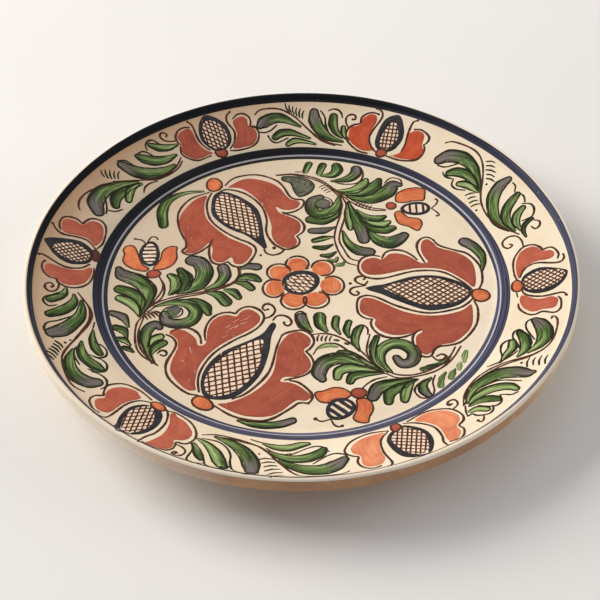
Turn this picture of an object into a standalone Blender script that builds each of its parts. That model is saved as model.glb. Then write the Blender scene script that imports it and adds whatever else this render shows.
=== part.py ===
"""Hand-painted earthenware plate with a wide flange, a thick lip and a foot ring.

The plate stands on Z = 0 with its axis on Z.  The clay body and its foot ring
are turned shapes.  A coat of cream slip lies on the face, and each painted band
and motif is a thin layer of its own on that coat.  Layers keep a small gap to
what they lie on.  Lengths in the tables below are millimetres.
"""

import math

import bmesh
import bpy
from mathutils import Vector

MM = 0.001

# Overall sizes
LIP_RADIUS = 139.0
FACE_HEIGHT = 12.8
FOOT_INNER = 74.0
FOOT_OUTER = 83.0

# The painted face: a flat well, a flange and a steep lip, heights from the well
WELL_FLAT = 97.4
BAND_INNER = (99.7, 0.4)
BAND_OUTER = (105.2, 2.9)
FLANGE_END = (134.1, 13.4)
CREST_CENTRE = (137.3, 13.95)
CREST_RADIUS = 1.7
CREST_START = 131.0

# The underside of the clay
BASE_DEPTH = 7.5
BASE_FLAT = 90.0
KNUCKLE = (104.0, -4.5)
LIP_UNDER = (137.4, 6.9)
LIP_CORNER = (138.6, 7.7)
LIP_LOW = (139.0, 9.2)

# Layers
GAP = 0.3
SLIP_THICKNESS = 0.5
PAINT_THICKNESS = 0.3
CLAY_DROP = SLIP_THICKNESS + GAP
PAINT_BASE = GAP
PAINT_TOP = GAP + PAINT_THICKNESS

# Painted bands, from inner to outer radius
WELL_LINE = (97.7, 99.0)
WELL_BAND = (100.4, 105.2)
RIM_PAINT = (108.0, 132.0)

TURN_STEPS = 64
CREST_STEPS = 4
MERGE = 1e-5

# Linear colours
CLAY = (0.50, 0.29, 0.15)
SLIP = (0.80, 0.66, 0.42)
BLUE = (0.035, 0.040, 0.085)
RED = (0.40, 0.085, 0.045)
ORANGE = (0.62, 0.17, 0.06)
GREEN = (0.07, 0.16, 0.045)

# Large tulips: ball x, y, heading, length, half width left and right of the axis
WELL_TULIPS = {
    "tulip_upper_left": (-46.3, 78.0, -63.0, 62.0, 27.0, 27.0),
    "tulip_right": (91.5, -11.5, 172.0, 60.0, 35.0, 32.0),
    "tulip_lower_left": (-47.0, -80.0, 56.5, 60.0, 27.0, 30.0),
}
BUDS = {
    "bud_left": (-76.5, 5.0, 95.0, 29.0, 13.0),
    "bud_upper_right": (44.0, 57.0, -4.0, 27.0, 12.0),
    "bud_bottom": (28.0, -72.5, 238.0, 22.0, 10.0),
}
# Sprays: start, control and end of the spine, half width, number of lobes
WELL_SPRAYS = {
    "spray_left": ((-79.0, -46.0), (-92.0, -2.0), (-24.0, 1.0), 10.0, 5),
    "spray_upper": ((-4.0, 82.0), (44.0, 82.0), (24.0, 20.0), 12.0, 6),
    "spray_lower": ((6.0, -30.0), (40.0, -80.0), (80.0, -49.0), 8.0, 5),
}
LEAVES = {
    "leaf_left": ((-58.0, 69.5), (-74.0, 66.0), (-73.0, 42.0), 2.8),
    "leaf_right": ((91.5, 9.0), (93.5, 25.0), (83.0, 29.0), 2.2),
    "leaf_bottom": ((-29.0, -89.5), (-15.0, -95.5), (-3.0, -90.5), 2.2),
}
ROSETTE_RADIUS = 19.0
ROSETTE_LOBE = 1.6
ROSETTE_PETALS = 7

# Flange motifs: bearing of each tulip, and the bearings between which a spray lies
RIM_TULIPS = (170.8, 113.7, 65.3, -5.3, -66.5, -130.0)
RIM_TULIP_SPAN = 9.5
RIM_SPRAYS = ((185.5, 216.0), (155.5, 127.0), (100.0, 78.0), (52.0, 9.5), (-19.5, -52.5), (-81.0, -113.0))
RIM_SPRAY_WIDTH = 8.5
RIM_SPRAY_LOBES = 5

# Half of a tulip: distance along the axis and across it, each from 0 to 1
TULIP_HALF = (
    (0.00, 0.10),
    (0.12, 0.16),
    (0.17, 0.55),
    (0.40, 0.96),
    (0.68, 0.98),
    (0.96, 0.72),
    (0.88, 0.42),
    (0.97, 0.16),
)
BUD_HALF = (
    (0.00, 0.22),
    (0.20, 0.40),
    (0.45, 1.00),
    (0.80, 0.92),
    (1.00, 0.30),
)


def clear_scene():
    """Remove every object, so the script can be run again in the same file."""
    for item in list(bpy.data.objects):
        bpy.data.objects.remove(item, do_unlink=True)


def make_collection(name):
    group = bpy.data.collections.new(name)
    bpy.context.scene.collection.children.link(group)
    return group


def principled(name, colour, roughness):
    material = bpy.data.materials.new(name)
    material.use_nodes = True
    shader = material.node_tree.nodes["Principled BSDF"]
    shader.inputs["Base Color"].default_value = (*colour, 1.0)
    shader.inputs["Roughness"].default_value = roughness
    shader.inputs["Metallic"].default_value = 0.0
    return material


def arc(centre, radius, first, last, steps):
    """Points on an arc, angles in degrees from the outward radius."""
    points = []
    for step in range(steps + 1):
        angle = math.radians(first + (last - first) * step / steps)
        points.append((centre[0] + radius * math.cos(angle), centre[1] + radius * math.sin(angle)))
    return points


def face_height(radius):
    """Height of the slip face above the well, as far as the end of the flange."""
    corners = ((0.0, 0.0), (WELL_FLAT, 0.0), BAND_INNER, BAND_OUTER, FLANGE_END)
    for (r0, z0), (r1, z1) in zip(corners, corners[1:]):
        if radius <= r1:
            return z0 + (z1 - z0) * (radius - r0) / (r1 - r0)
    return FLANGE_END[1]


def face_profile(drop, lip=True):
    """The face from its centre outwards, lowered by drop."""
    points = [(0.0, -drop)]
    for radius, height in ((WELL_FLAT, 0.0), BAND_INNER, BAND_OUTER, FLANGE_END):
        points.append((radius, height - drop))
    if lip:
        points += arc(CREST_CENTRE, CREST_RADIUS - drop, CREST_START, 0.0, CREST_STEPS)
    return points


def turned(name, profile, closed, material, group):
    """Turn a profile about Z.  It runs outwards, down the outer side and back in."""
    mesh = bpy.data.meshes.new(name)
    edges = [(i, i + 1) for i in range(len(profile) - 1)]
    if closed:
        edges.append((len(profile) - 1, 0))
    vertices = [(radius * MM, 0.0, (height + FACE_HEIGHT) * MM) for radius, height in profile]
    mesh.from_pydata(vertices, edges, [])
    item = bpy.data.objects.new(name, mesh)
    group.objects.link(item)
    item.data.materials.append(material)
    screw = item.modifiers.new("Turn", "SCREW")
    screw.axis = "Z"
    screw.steps = TURN_STEPS
    screw.render_steps = TURN_STEPS
    screw.use_merge_vertices = True
    screw.merge_threshold = MERGE
    screw.use_smooth_shade = True
    return item


def ring_layer(name, radii, material, group, heights=face_height, base=PAINT_BASE, top=PAINT_TOP):
    """A thin turned layer that follows the face between the given radii."""
    upper = [(radius, heights(radius) + top) for radius in radii]
    lower = [(radius, heights(radius) + base) for radius in reversed(radii)]
    return turned(name, upper + lower, True, material, group)


def make_clay_body(group):
    material = principled("clay", CLAY, 0.75)
    profile = face_profile(CLAY_DROP)
    ledge = CREST_CENTRE[1] - GAP
    profile.append((CREST_CENTRE[0] + CREST_RADIUS - CLAY_DROP, ledge))
    profile += [(LIP_RADIUS, ledge), LIP_LOW, LIP_CORNER, LIP_UNDER, KNUCKLE]
    profile += [(BASE_FLAT, -BASE_DEPTH), (0.0, -BASE_DEPTH)]
    return turned("clay_body", profile, False, material, group)


def make_foot_ring(group):
    material = principled("foot_clay", CLAY, 0.85)
    top = -BASE_DEPTH - GAP
    chamfer = 1.2
    profile = [
        (FOOT_INNER, top),
        (FOOT_OUTER + chamfer, top),
        (FOOT_OUTER, -FACE_HEIGHT + chamfer),
        (FOOT_OUTER - chamfer, -FACE_HEIGHT),
        (FOOT_INNER + chamfer, -FACE_HEIGHT),
        (FOOT_INNER, -FACE_HEIGHT + chamfer),
    ]
    return turned("foot_ring", profile, True, material, group)


def make_slip_ground(group):
    material = principled("slip", SLIP, 0.28)
    profile = face_profile(0.0) + list(reversed(face_profile(SLIP_THICKNESS)))
    return turned("slip_ground", profile, False, material, group)


def make_bands(group):
    material = principled("band_blue", BLUE, 0.22)
    ring_layer("well_line", (WELL_LINE[0], 98.35, WELL_LINE[1]), material, group)
    ring_layer("well_band", WELL_BAND, material, group)
    crest = arc(CREST_CENTRE, CREST_RADIUS, CREST_START, 100.0, 2)
    inner = [FLANGE_END] + crest
    upper = [(radius, height + PAINT_TOP) for radius, height in inner]
    lower = [(radius, height + PAINT_BASE) for radius, height in reversed(inner)]
    turned("rim_band", upper + lower, True, material, group)


def outline_object(name, points, depth, group):
    """A filled outline, smooth through its points, depth thick about its plane."""
    curve = bpy.data.curves.new(name, "CURVE")
    curve.dimensions = "2D"
    curve.fill_mode = "BOTH"
    curve.extrude = depth / 2.0 * MM
    curve.resolution_u = 2
    spline = curve.splines.new("BEZIER")
    spline.bezier_points.add(len(points) - 1)
    spline.use_cyclic_u = True
    for knot, point in zip(spline.bezier_points, points):
        knot.co = (point[0] * MM, point[1] * MM, 0.0)
        knot.handle_left_type = "AUTO"
        knot.handle_right_type = "AUTO"
    item = bpy.data.objects.new(name, curve)
    group.objects.link(item)
    return item


def to_mesh(item, group):
    """Replace a curve object by its welded mesh."""
    bpy.context.view_layer.update()
    evaluated = item.evaluated_get(bpy.context.evaluated_depsgraph_get())
    mesh = bpy.data.meshes.new_from_object(evaluated)
    work = bmesh.new()
    work.from_mesh(mesh)
    bmesh.ops.remove_doubles(work, verts=work.verts, dist=MERGE)
    work.to_mesh(mesh)
    work.free()
    name = item.name
    placed = item.matrix_world.copy()
    bpy.data.objects.remove(item, do_unlink=True)
    result = bpy.data.objects.new(name, mesh)
    result.matrix_world = placed
    group.objects.link(result)
    return result


def well_pad(name, points, material, group):
    """A flat layer of paint on the floor of the well."""
    item = outline_object(name, points, PAINT_THICKNESS, group)
    item.location.z = (FACE_HEIGHT + PAINT_BASE + PAINT_THICKNESS / 2.0) * MM
    item = to_mesh(item, group)
    item.data.materials.append(material)
    return item


def flange_pad(name, points, material, group, cutters):
    """A layer of paint on the flange: a turned coat kept inside an outline."""
    cutter = outline_object(name + "_outline", points, 60.0, cutters)
    cutter.location.z = FACE_HEIGHT * MM
    cutter = to_mesh(cutter, cutters)
    cutter.hide_render = True
    cutter.display_type = "WIRE"
    item = ring_layer(name, RIM_PAINT, material, group)
    keep = item.modifiers.new("Outline", "BOOLEAN")
    keep.operation = "INTERSECT"
    keep.solver = "EXACT"
    keep.object = cutter
    return item


def along(origin, heading, forward, across):
    """A point forward of the origin and across to its left, heading in degrees."""
    angle = math.radians(heading)
    x = origin[0] + forward * math.cos(angle) - across * math.sin(angle)
    y = origin[1] + forward * math.sin(angle) + across * math.cos(angle)
    return x, y


def flower_outline(origin, heading, length, left, right, half):
    """A closed outline from half a flower, with its own width on each side."""
    points = [along(origin, heading, u * length, v * left) for u, v in half]
    points += [along(origin, heading, u * length, -v * right) for u, v in reversed(half)]
    return points


def spine_point(spine, t):
    """Point and left-hand normal on a quadratic curve."""
    start, control, end = (Vector(point) for point in spine)
    place = start * (1 - t) ** 2 + control * 2 * t * (1 - t) + end * t ** 2
    slope = (control - start) * (1 - t) + (end - control) * t
    slope.normalize()
    return place, Vector((-slope.y, slope.x))


def spray_outline(place, half_width, lobes):
    """A leafy outline about a spine: place(t) gives its point and normal."""
    steps = lobes * 2
    left = []
    right = []
    for step in range(steps + 1):
        t = step / steps
        body = 0.30 + 0.70 * math.sin(math.pi * t)
        width = half_width * body * (1.0 if step % 2 else 0.78)
        point, normal = place(t)
        left.append(point + normal * width)
        right.append(point - normal * width)
    return [tuple(point) for point in left + right[::-1]]


def leaf_outline(spine, half_width):
    """A single stroke of the brush, pointed where it starts and round at its end."""
    def edge(t, side):
        point, normal = spine_point(spine, t)
        width = half_width * math.sin(math.pi * min(0.12 + 0.70 * t, 1.0))
        return tuple(point + normal * width * side)

    stations = (0.0, 0.33, 0.66, 0.95)
    return [edge(t, 1.0) for t in stations] + [edge(t, -1.0) for t in reversed(stations)]


def rosette_outline():
    points = []
    for step in range(ROSETTE_PETALS * 2):
        angle = math.pi * step / ROSETTE_PETALS
        radius = ROSETTE_RADIUS + (ROSETTE_LOBE if step % 2 else -ROSETTE_LOBE)
        points.append((radius * math.cos(angle), radius * math.sin(angle)))
    return points


def arc_place(first, last):
    """Place function for a spray that bends round the flange."""
    middle = (RIM_PAINT[0] + RIM_PAINT[1]) / 2.0

    def place(t):
        angle = math.radians(first + (last - first) * t)
        outward = Vector((math.cos(angle), math.sin(angle)))
        return outward * middle, outward

    return place


def rim_tulip_outline(bearing):
    """The tulip outline bent round the flange, its mouth towards the lip."""
    inner = RIM_PAINT[0] + 1.0
    length = RIM_PAINT[1] - RIM_PAINT[0] - 2.0
    points = []
    for side, half in ((1.0, TULIP_HALF), (-1.0, TULIP_HALF[::-1])):
        for u, v in half:
            angle = math.radians(bearing + side * v * RIM_TULIP_SPAN)
            radius = inner + u * length
            points.append((radius * math.cos(angle), radius * math.sin(angle)))
    return points


def make_well_motifs(group):
    red = principled("tulip_red", RED, 0.30)
    orange = principled("bud_orange", ORANGE, 0.30)
    green = principled("leaf_green", GREEN, 0.28)
    well_pad("rosette", rosette_outline(), orange, group)
    for name, (x, y, heading, length, left, right) in WELL_TULIPS.items():
        outline = flower_outline((x, y), heading, length, left, right, TULIP_HALF)
        well_pad(name, outline, red, group)
    for name, (x, y, heading, length, width) in BUDS.items():
        outline = flower_outline((x, y), heading, length, width, width, BUD_HALF)
        well_pad(name, outline, orange, group)
    for name, (start, control, end, width, lobes) in WELL_SPRAYS.items():
        spine = (start, control, end)
        outline = spray_outline(lambda t, spine=spine: spine_point(spine, t), width, lobes)
        well_pad(name, outline, green, group)
    for name, (start, control, end, width) in LEAVES.items():
        well_pad(name, leaf_outline((start, control, end), width), green, group)


def make_rim_motifs(group, cutters):
    red = principled("rim_tulip_red", RED, 0.30)
    green = principled("rim_leaf_green", GREEN, 0.28)
    for number, bearing in enumerate(RIM_TULIPS, start=1):
        flange_pad(f"rim_tulip_{number}", rim_tulip_outline(bearing), red, group, cutters)
    for number, (first, last) in enumerate(RIM_SPRAYS, start=1):
        outline = spray_outline(arc_place(first, last), RIM_SPRAY_WIDTH, RIM_SPRAY_LOBES)
        flange_pad(f"rim_spray_{number}", outline, green, group, cutters)


def main():
    clear_scene()
    group = make_collection("hand_painted_plate")
    cutters = make_collection("cutters")
    make_clay_body(group)
    make_foot_ring(group)
    make_slip_ground(group)
    make_bands(group)
    make_well_motifs(group)
    make_rim_motifs(group, cutters)


main()
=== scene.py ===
"""Hand painted slipware plate: the turned body, its slip coat, and every brush mark as raised paint.

Lengths are in millimetres, measured from the plate's centre: +x right, +y away, z up from the table.
Outlines and brush paths are written as "x,y x,y ...", seen from above.
"""

import math

import bmesh
import bpy
import numpy as np
from mathutils import Matrix, Vector
from mathutils.geometry import delaunay_2d_cdt


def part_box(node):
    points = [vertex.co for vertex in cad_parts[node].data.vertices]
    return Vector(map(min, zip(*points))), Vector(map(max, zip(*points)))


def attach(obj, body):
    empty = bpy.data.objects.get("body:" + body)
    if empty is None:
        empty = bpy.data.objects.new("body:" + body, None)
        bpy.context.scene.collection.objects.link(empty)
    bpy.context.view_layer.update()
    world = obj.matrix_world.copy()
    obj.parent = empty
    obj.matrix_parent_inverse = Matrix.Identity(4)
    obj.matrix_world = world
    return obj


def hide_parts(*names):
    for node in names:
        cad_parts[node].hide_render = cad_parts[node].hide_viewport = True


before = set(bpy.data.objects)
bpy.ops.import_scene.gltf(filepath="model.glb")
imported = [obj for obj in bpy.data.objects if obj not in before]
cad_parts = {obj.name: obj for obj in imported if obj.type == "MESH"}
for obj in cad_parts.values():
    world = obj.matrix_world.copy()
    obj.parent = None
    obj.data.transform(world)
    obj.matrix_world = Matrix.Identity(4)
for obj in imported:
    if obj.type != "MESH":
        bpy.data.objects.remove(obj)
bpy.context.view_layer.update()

MM = 0.001
rng = np.random.default_rng(7)

# ---------------------------------------------------------------- the plate's surface

# the gap that the CAD keeps between a paint layer and the glaze below it
PAINT_GAP = 0.3
WELL_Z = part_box("rosette")[0].z / MM - PAINT_GAP
RIM_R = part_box("clay_body")[1].x / MM

# facets round a turned piece, and round a painted band, whose edges wander
TURN_STEPS = 320
BAND_STEPS = 480

# the slip coat's thickness, and how far the edge of a paint mark dips under the face
COAT = 0.3
SINK = 0.04

# the lip's round crest: its centre (radius, and height above the well), its own radius, and the angle in
# degrees where it meets the flange
LIP_CENTRE = (137.3, 13.95)
LIP_R = 1.7
LIP_START = 131
# radius and height above the well, from the middle up the flange
WELL_CURVE = [(0, 0), (97.4, 0), (99.7, 0.4), (105.2, 2.9), (134.1, 13.4)]


def lip_arc(first, last, steps, shrink=0.0):
    """Points round the lip, from one angle to another in degrees."""
    angles = np.radians(np.linspace(first, last, steps))
    r = LIP_R - shrink
    return [(LIP_CENTRE[0] + r * math.cos(a), LIP_CENTRE[1] + r * math.sin(a)) for a in angles]


def face_table(step=0.1, softening=15):
    """Radius and height of the upper face, its corners softened as a thrower's rib leaves them."""
    curve = np.array(WELL_CURVE + lip_arc(LIP_START, 0, 24))
    r = np.arange(0, RIM_R + step / 2, step)
    z = np.interp(r, curve[:, 0], curve[:, 1])
    kernel = np.hanning(softening)
    soft = np.convolve(np.pad(z, softening // 2, mode="edge"), kernel / kernel.sum(), mode="valid")
    return r, np.where(r < RIM_R - 1.5, soft, z)


FACE_R, FACE_H = face_table()


def unevenness(x, y):
    """How far a hand-thrown plate is from true, up or down."""
    r = np.hypot(x, y)
    a = np.arctan2(y, x)
    reach = (r / RIM_R) ** 2
    lean = 0.28 * np.sin(2 * a + 1.1) + 0.14 * np.sin(3 * a + 0.4) + 0.05 * np.sin(7 * a)
    ridges = 0.035 * np.sin(r * 1.9 + 0.6 * np.sin(a)) * (1 - reach)
    return reach * lean + ridges


def face(x, y):
    """Height of the glazed upper face above the table."""
    return WELL_Z + np.interp(np.hypot(x, y), FACE_R, FACE_H) + unevenness(x, y)


# ---------------------------------------------------------------- curves


def pts(text):
    """Points from "x,y x,y ..."."""
    return np.array([[float(v) for v in pair.split(",")] for pair in text.split()])


def smooth(points, step=0.9, closed=False):
    """A centripetal curve through the points: places along it, and the control point that each is near."""
    p = np.asarray(points, float)
    if closed:
        ring = np.vstack([p[-1], p, p[:2]])
    else:
        ring = np.vstack([2 * p[0] - p[1], p, 2 * p[-1] - p[-2]])
    places, marks = [], []
    for i in range(len(ring) - 3):
        quad = ring[i:i + 4]
        gaps = np.maximum(np.sqrt(np.linalg.norm(np.diff(quad, axis=0), axis=1)), 1e-3)
        t = np.concatenate([[0], np.cumsum(gaps)])
        count = max(1, round(np.linalg.norm(quad[2] - quad[1]) / step))
        u = (t[1] + (t[2] - t[1]) * np.arange(count) / count)[:, None]
        a = [((t[k + 1] - u) * quad[k] + (u - t[k]) * quad[k + 1]) / gaps[k] for k in range(3)]
        b = [((t[k + 2] - u) * a[k] + (u - t[k]) * a[k + 1]) / (t[k + 2] - t[k]) for k in range(2)]
        places.append(((t[2] - u) * b[0] + (u - t[1]) * b[1]) / gaps[1])
        marks.append(i + np.arange(count) / count)
    if not closed:
        places.append(p[-1:])
        marks.append(np.array([len(p) - 1.0]))
    return np.vstack(places), np.concatenate(marks)


def directions(places, closed=False):
    """Unit steps along a curve, and their left-hand normals."""
    if closed:
        step = np.roll(places, -1, 0) - np.roll(places, 1, 0)
    else:
        step = np.gradient(places, axis=0)
    step /= np.maximum(np.linalg.norm(step, axis=1), 1e-6)[:, None]
    return step, np.stack([-step[:, 1], step[:, 0]], 1)


def ellipse(cx, cy, across, tall, tilt=0, count=14):
    """Points round an ellipse, a touch out of true."""
    a = np.linspace(0, 2 * math.pi, count, endpoint=False)
    wobble = 1 + 0.035 * np.sin(2 * a + cx) + 0.03 * np.sin(3 * a + cy)
    x, y = across * wobble * np.cos(a), tall * wobble * np.sin(a)
    t = math.radians(tilt)
    return np.stack([cx + x * math.cos(t) - y * math.sin(t), cy + x * math.sin(t) + y * math.cos(t)], 1)


def inside(loops, points):
    """Which points lie inside the loops, by the even-odd rule."""
    odd = np.zeros(len(points), bool)
    x, y = points[:, 0], points[:, 1]
    for loop in loops:
        for (x0, y0), (x1, y1) in zip(loop, np.roll(loop, -1, 0)):
            if y0 == y1:
                continue
            crosses = ((y0 > y) != (y1 > y)) & (x < (x1 - x0) * (y - y0) / (y1 - y0) + x0)
            odd ^= crosses
    return odd


def edge_distance(loops, points):
    """Distance from each point to the nearest loop."""
    best = np.full(len(points), 1e9)
    for loop in loops:
        start = loop
        span = np.roll(loop, -1, 0) - loop
        length = np.maximum((span ** 2).sum(1), 1e-9)
        for chunk in range(0, len(points), 400):
            part = points[chunk:chunk + 400]
            t = np.clip(((part[:, None] - start) * span).sum(2) / length, 0, 1)
            near = start + t[..., None] * span
            gap = np.linalg.norm(part[:, None] - near, axis=2).min(1)
            best[chunk:chunk + 400] = np.minimum(best[chunk:chunk + 400], gap)
    return best


# ---------------------------------------------------------------- building meshes


# cross-sections of a stroke, as places across it and the paint's height there: the first is for strokes
# with a half-width under WIDE_STROKE
THIN_DOME = np.array([[-1, -0.62, 0, 0.62, 1], [0, 0.62, 1, 0.62, 0]])
WIDE_DOME = np.array([[-1, -0.8, -0.4, 0, 0.4, 0.8, 1], [0, 0.68, 0.92, 1, 0.92, 0.68, 0]])
WIDE_STROKE = 1.2

# the two steps of a stroke's round end, as angles from straight across
CAP_ANGLES = np.radians([62, 32])

# spacing of the points inside a patch, how far they keep from its edge, and where it reaches its height
GRID = 2.4
GRID_MARGIN = 1.3
SHOULDER = 0.5


class Paint:
    """Brush marks gathered into one named piece. Each mark is a closed, slightly domed pad on the face."""

    def __init__(self, name, node, slot, *materials):
        self.name, self.node, self.slot = name, node, slot
        self.materials = materials
        self.verts, self.faces, self.looks = [], [], []
        self.brush, self.ink = [], []
        self.leaves = 0

    def _add(self, xy, lift, faces, look, brush, ink):
        base = len(self.verts)
        z = face(xy[:, 0], xy[:, 1]) + lift
        self.verts += [(x * MM, y * MM, h * MM) for (x, y), h in zip(xy, z)]
        self.faces += [[base + k for k in f] for f in faces]
        self.looks += [look] * len(faces)
        self.brush += list(brush)
        self.ink += list(ink)

    def stroke(self, points, width, high=0.13, look=0, slate=(0, 0), light=(0.5, 0.5), closed=False,
               step=0.9, shade=0.0):
        """One brush mark along the points. width is the half-width, or one for each point."""
        places, marks = smooth(points, step, closed)
        wide = np.interp(marks, np.arange(np.size(width)), width) if np.size(width) > 1 else (
            np.full(len(places), float(width)))
        grain = rng.uniform(0, 60)
        run = np.concatenate([[0], np.cumsum(np.linalg.norm(np.diff(places, axis=0), axis=1))])
        wide = wide * (1 + 0.09 * np.sin(run * 0.55 + grain) + 0.05 * np.sin(run * 1.7 + 2 * grain))
        forward, left = directions(places, closed)
        if not closed:
            start, end = CAP_ANGLES, CAP_ANGLES[::-1]
            places = np.vstack([places[0] - forward[0] * wide[0] * np.sin(start)[:, None], places,
                                places[-1] + forward[-1] * wide[-1] * np.sin(end)[:, None]])
            left = np.vstack([left[:1]] * 2 + [left] + [left[-1:]] * 2)
            run = np.concatenate([[run[0]] * 2, run, [run[-1]] * 2])
            wide = np.concatenate([wide[0] * np.cos(start), wide, wide[-1] * np.cos(end)])
        across, dome = THIN_DOME if wide.max() < WIDE_STROKE else WIDE_DOME
        rows, cols = len(places), len(across)
        xy = (places[:, None] + left[:, None] * (wide[:, None] * across)[..., None]).reshape(-1, 2)
        lift = np.tile(dome * high - (dome == 0) * SINK, rows)
        part = np.repeat(run / max(run[-1], 1e-6), cols)
        side = np.tile(across, rows)
        brush = np.stack([np.repeat(run, cols), side * np.repeat(wide, cols), np.full(rows * cols, grain)], 1)
        glow = light[0] + (light[1] - light[0]) * part + shade * side
        ink = np.stack([slate[0] + (slate[1] - slate[0]) * part, glow, np.abs(side) ** 2.2], 1)
        faces = []
        for i in range(rows if closed else rows - 1):
            here, there = i * cols, ((i + 1) % rows) * cols
            faces += [[here + k, here + k + 1, there + k + 1, there + k] for k in range(cols - 1)]
            faces.append([here + cols - 1, here, there, there + cols - 1])
        if not closed:
            faces.append(list(range(cols))[::-1])
            faces.append([(rows - 1) * cols + k for k in range(cols)])
        self._add(xy, lift, faces, look, brush, ink)

    def fill(self, *outlines, high=0.07, look=0, focus=None, slate=0.0, light=0.5, step=1.0):
        """A patch of paint inside the outlines (a second outline is a hole), combed round the focus."""
        loops = [smooth(outline, step, True)[0] for outline in outlines]
        ring = np.vstack(loops)
        low, top = ring.min(0), ring.max(0)
        gx, gy = np.meshgrid(np.arange(low[0], top[0], GRID), np.arange(low[1], top[1], GRID))
        gx = gx + GRID / 2 * (np.arange(gx.shape[0]) % 2)[:, None]
        grid = np.stack([gx.ravel(), gy.ravel()], 1)
        grid = grid[inside(loops, grid)]
        if len(grid):
            grid = grid[edge_distance(loops, grid) > GRID_MARGIN]
        rims = []
        for loop in loops:
            left = directions(loop, True)[1]
            rims += [loop + left * SHOULDER, loop - left * SHOULDER]
        rims = np.vstack(rims)
        rims = rims[inside(loops, rims)]
        rims = rims[edge_distance(loops, rims) > 0.8 * SHOULDER]
        points = np.vstack([ring, rims, grid])
        bars, first = [], 0
        for loop in loops:
            bars += [(first + k, first + (k + 1) % len(loop)) for k in range(len(loop))]
            first += len(loop)
        out = delaunay_2d_cdt([Vector(p) for p in points], bars, [], 0, 1e-5)
        xy = np.array([v[:] for v in out[0]])
        tris = np.array([f[:] for f in out[2]])
        corners = xy[tris]
        turn = np.cross(corners[:, 1] - corners[:, 0], corners[:, 2] - corners[:, 0])
        tris = np.where((turn < 0)[:, None], tris[:, ::-1], tris)
        tris = tris[inside(loops, corners.mean(1)) & (np.abs(turn) > 1e-6)]
        used = np.unique(tris)
        xy = xy[used]
        tris = np.searchsorted(used, tris)
        gap = edge_distance(loops, xy)
        rise = np.clip(gap / SHOULDER, 0, 1)
        lift = np.where(gap < 1e-3, -SINK, high * (0.8 * rise + 0.2 * np.clip(gap / 4, 0, 1)))
        centre = np.asarray(focus if focus is not None else ring.mean(0), float)
        arm = xy - centre
        reach = np.hypot(*arm.T)
        grain = rng.uniform(0, 60)
        brush = np.stack([np.arctan2(arm[:, 1], arm[:, 0]) * 26, reach, np.full(len(xy), grain)], 1)
        ink = np.stack([np.full(len(xy), slate), np.full(len(xy), light), 1 - np.clip(gap / 1.2, 0, 1)], 1)
        count = len(xy)
        edges = dict.fromkeys(pair for a, b, c in tris for pair in ((a, b), (b, c), (c, a)))
        border = [(a, b) for a, b in edges if (b, a) not in edges]
        faces = tris.tolist() + (tris[:, ::-1] + count).tolist()
        faces += [[b, a, a + count, b + count] for a, b in border]
        self._add(np.vstack([xy, xy]), np.concatenate([lift, np.full(count, -2 * SINK)]), faces, look,
                  np.vstack([brush, brush]), np.vstack([ink, ink]))

    def blob(self, x, y, size, look=0):
        """A dab of paint."""
        self.fill(ellipse(x, y, size, size, count=10), high=0.16, look=look, step=0.6)

    def finish(self):
        return solid(self.name, self.verts, self.faces, self.materials, self.node,
                     self.looks, self.brush, self.ink)


def solid(name, verts, faces, materials, node, looks=None, brush=None, ink=None):
    """Makes a mesh piece that rides on the plate and stands for its CAD node."""
    mesh = bpy.data.meshes.new(name)
    mesh.from_pydata([tuple(v) for v in verts], [], [list(map(int, f)) for f in faces])
    for material in materials:
        mesh.materials.append(material)
    if looks is not None:
        mesh.polygons.foreach_set("material_index", looks)
    mesh.polygons.foreach_set("use_smooth", [True] * len(mesh.polygons))
    for title, values in (("brush", brush), ("ink", ink)):
        if values is not None:
            layer = mesh.attributes.new(title, "FLOAT_VECTOR", "POINT")
            layer.data.foreach_set("vector", np.asarray(values, np.float32).ravel())
    mesh.update()
    piece = bpy.data.objects.new(name, mesh)
    bpy.context.scene.collection.objects.link(piece)
    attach(piece, "root")
    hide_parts(node)
    return piece


def turned(name, section, node, material, steps=TURN_STEPS):
    """A closed ring or disc turned about the plate's axis.

    section is a function of the angle. It gives the cross-section as a closed list of (radius, height),
    always with the same number of points."""
    verts, brush = [], []
    for k in range(steps):
        a = 2 * math.pi * k / steps
        for r, z in section(a):
            x, y = r * math.cos(a), r * math.sin(a)
            verts.append((x * MM, y * MM, (z + float(unevenness(x, y))) * MM))
            brush.append((a * r, r, z))
    count = len(section(0.0))
    faces = []
    for k in range(steps):
        here, there = k * count, ((k + 1) % steps) * count
        for j in range(count):
            nxt = (j + 1) % count
            faces.append([here + j, there + j, there + nxt, here + nxt])
    return solid(name, verts, faces, [material], node, None, brush, None)


# ---------------------------------------------------------------- materials


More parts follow.
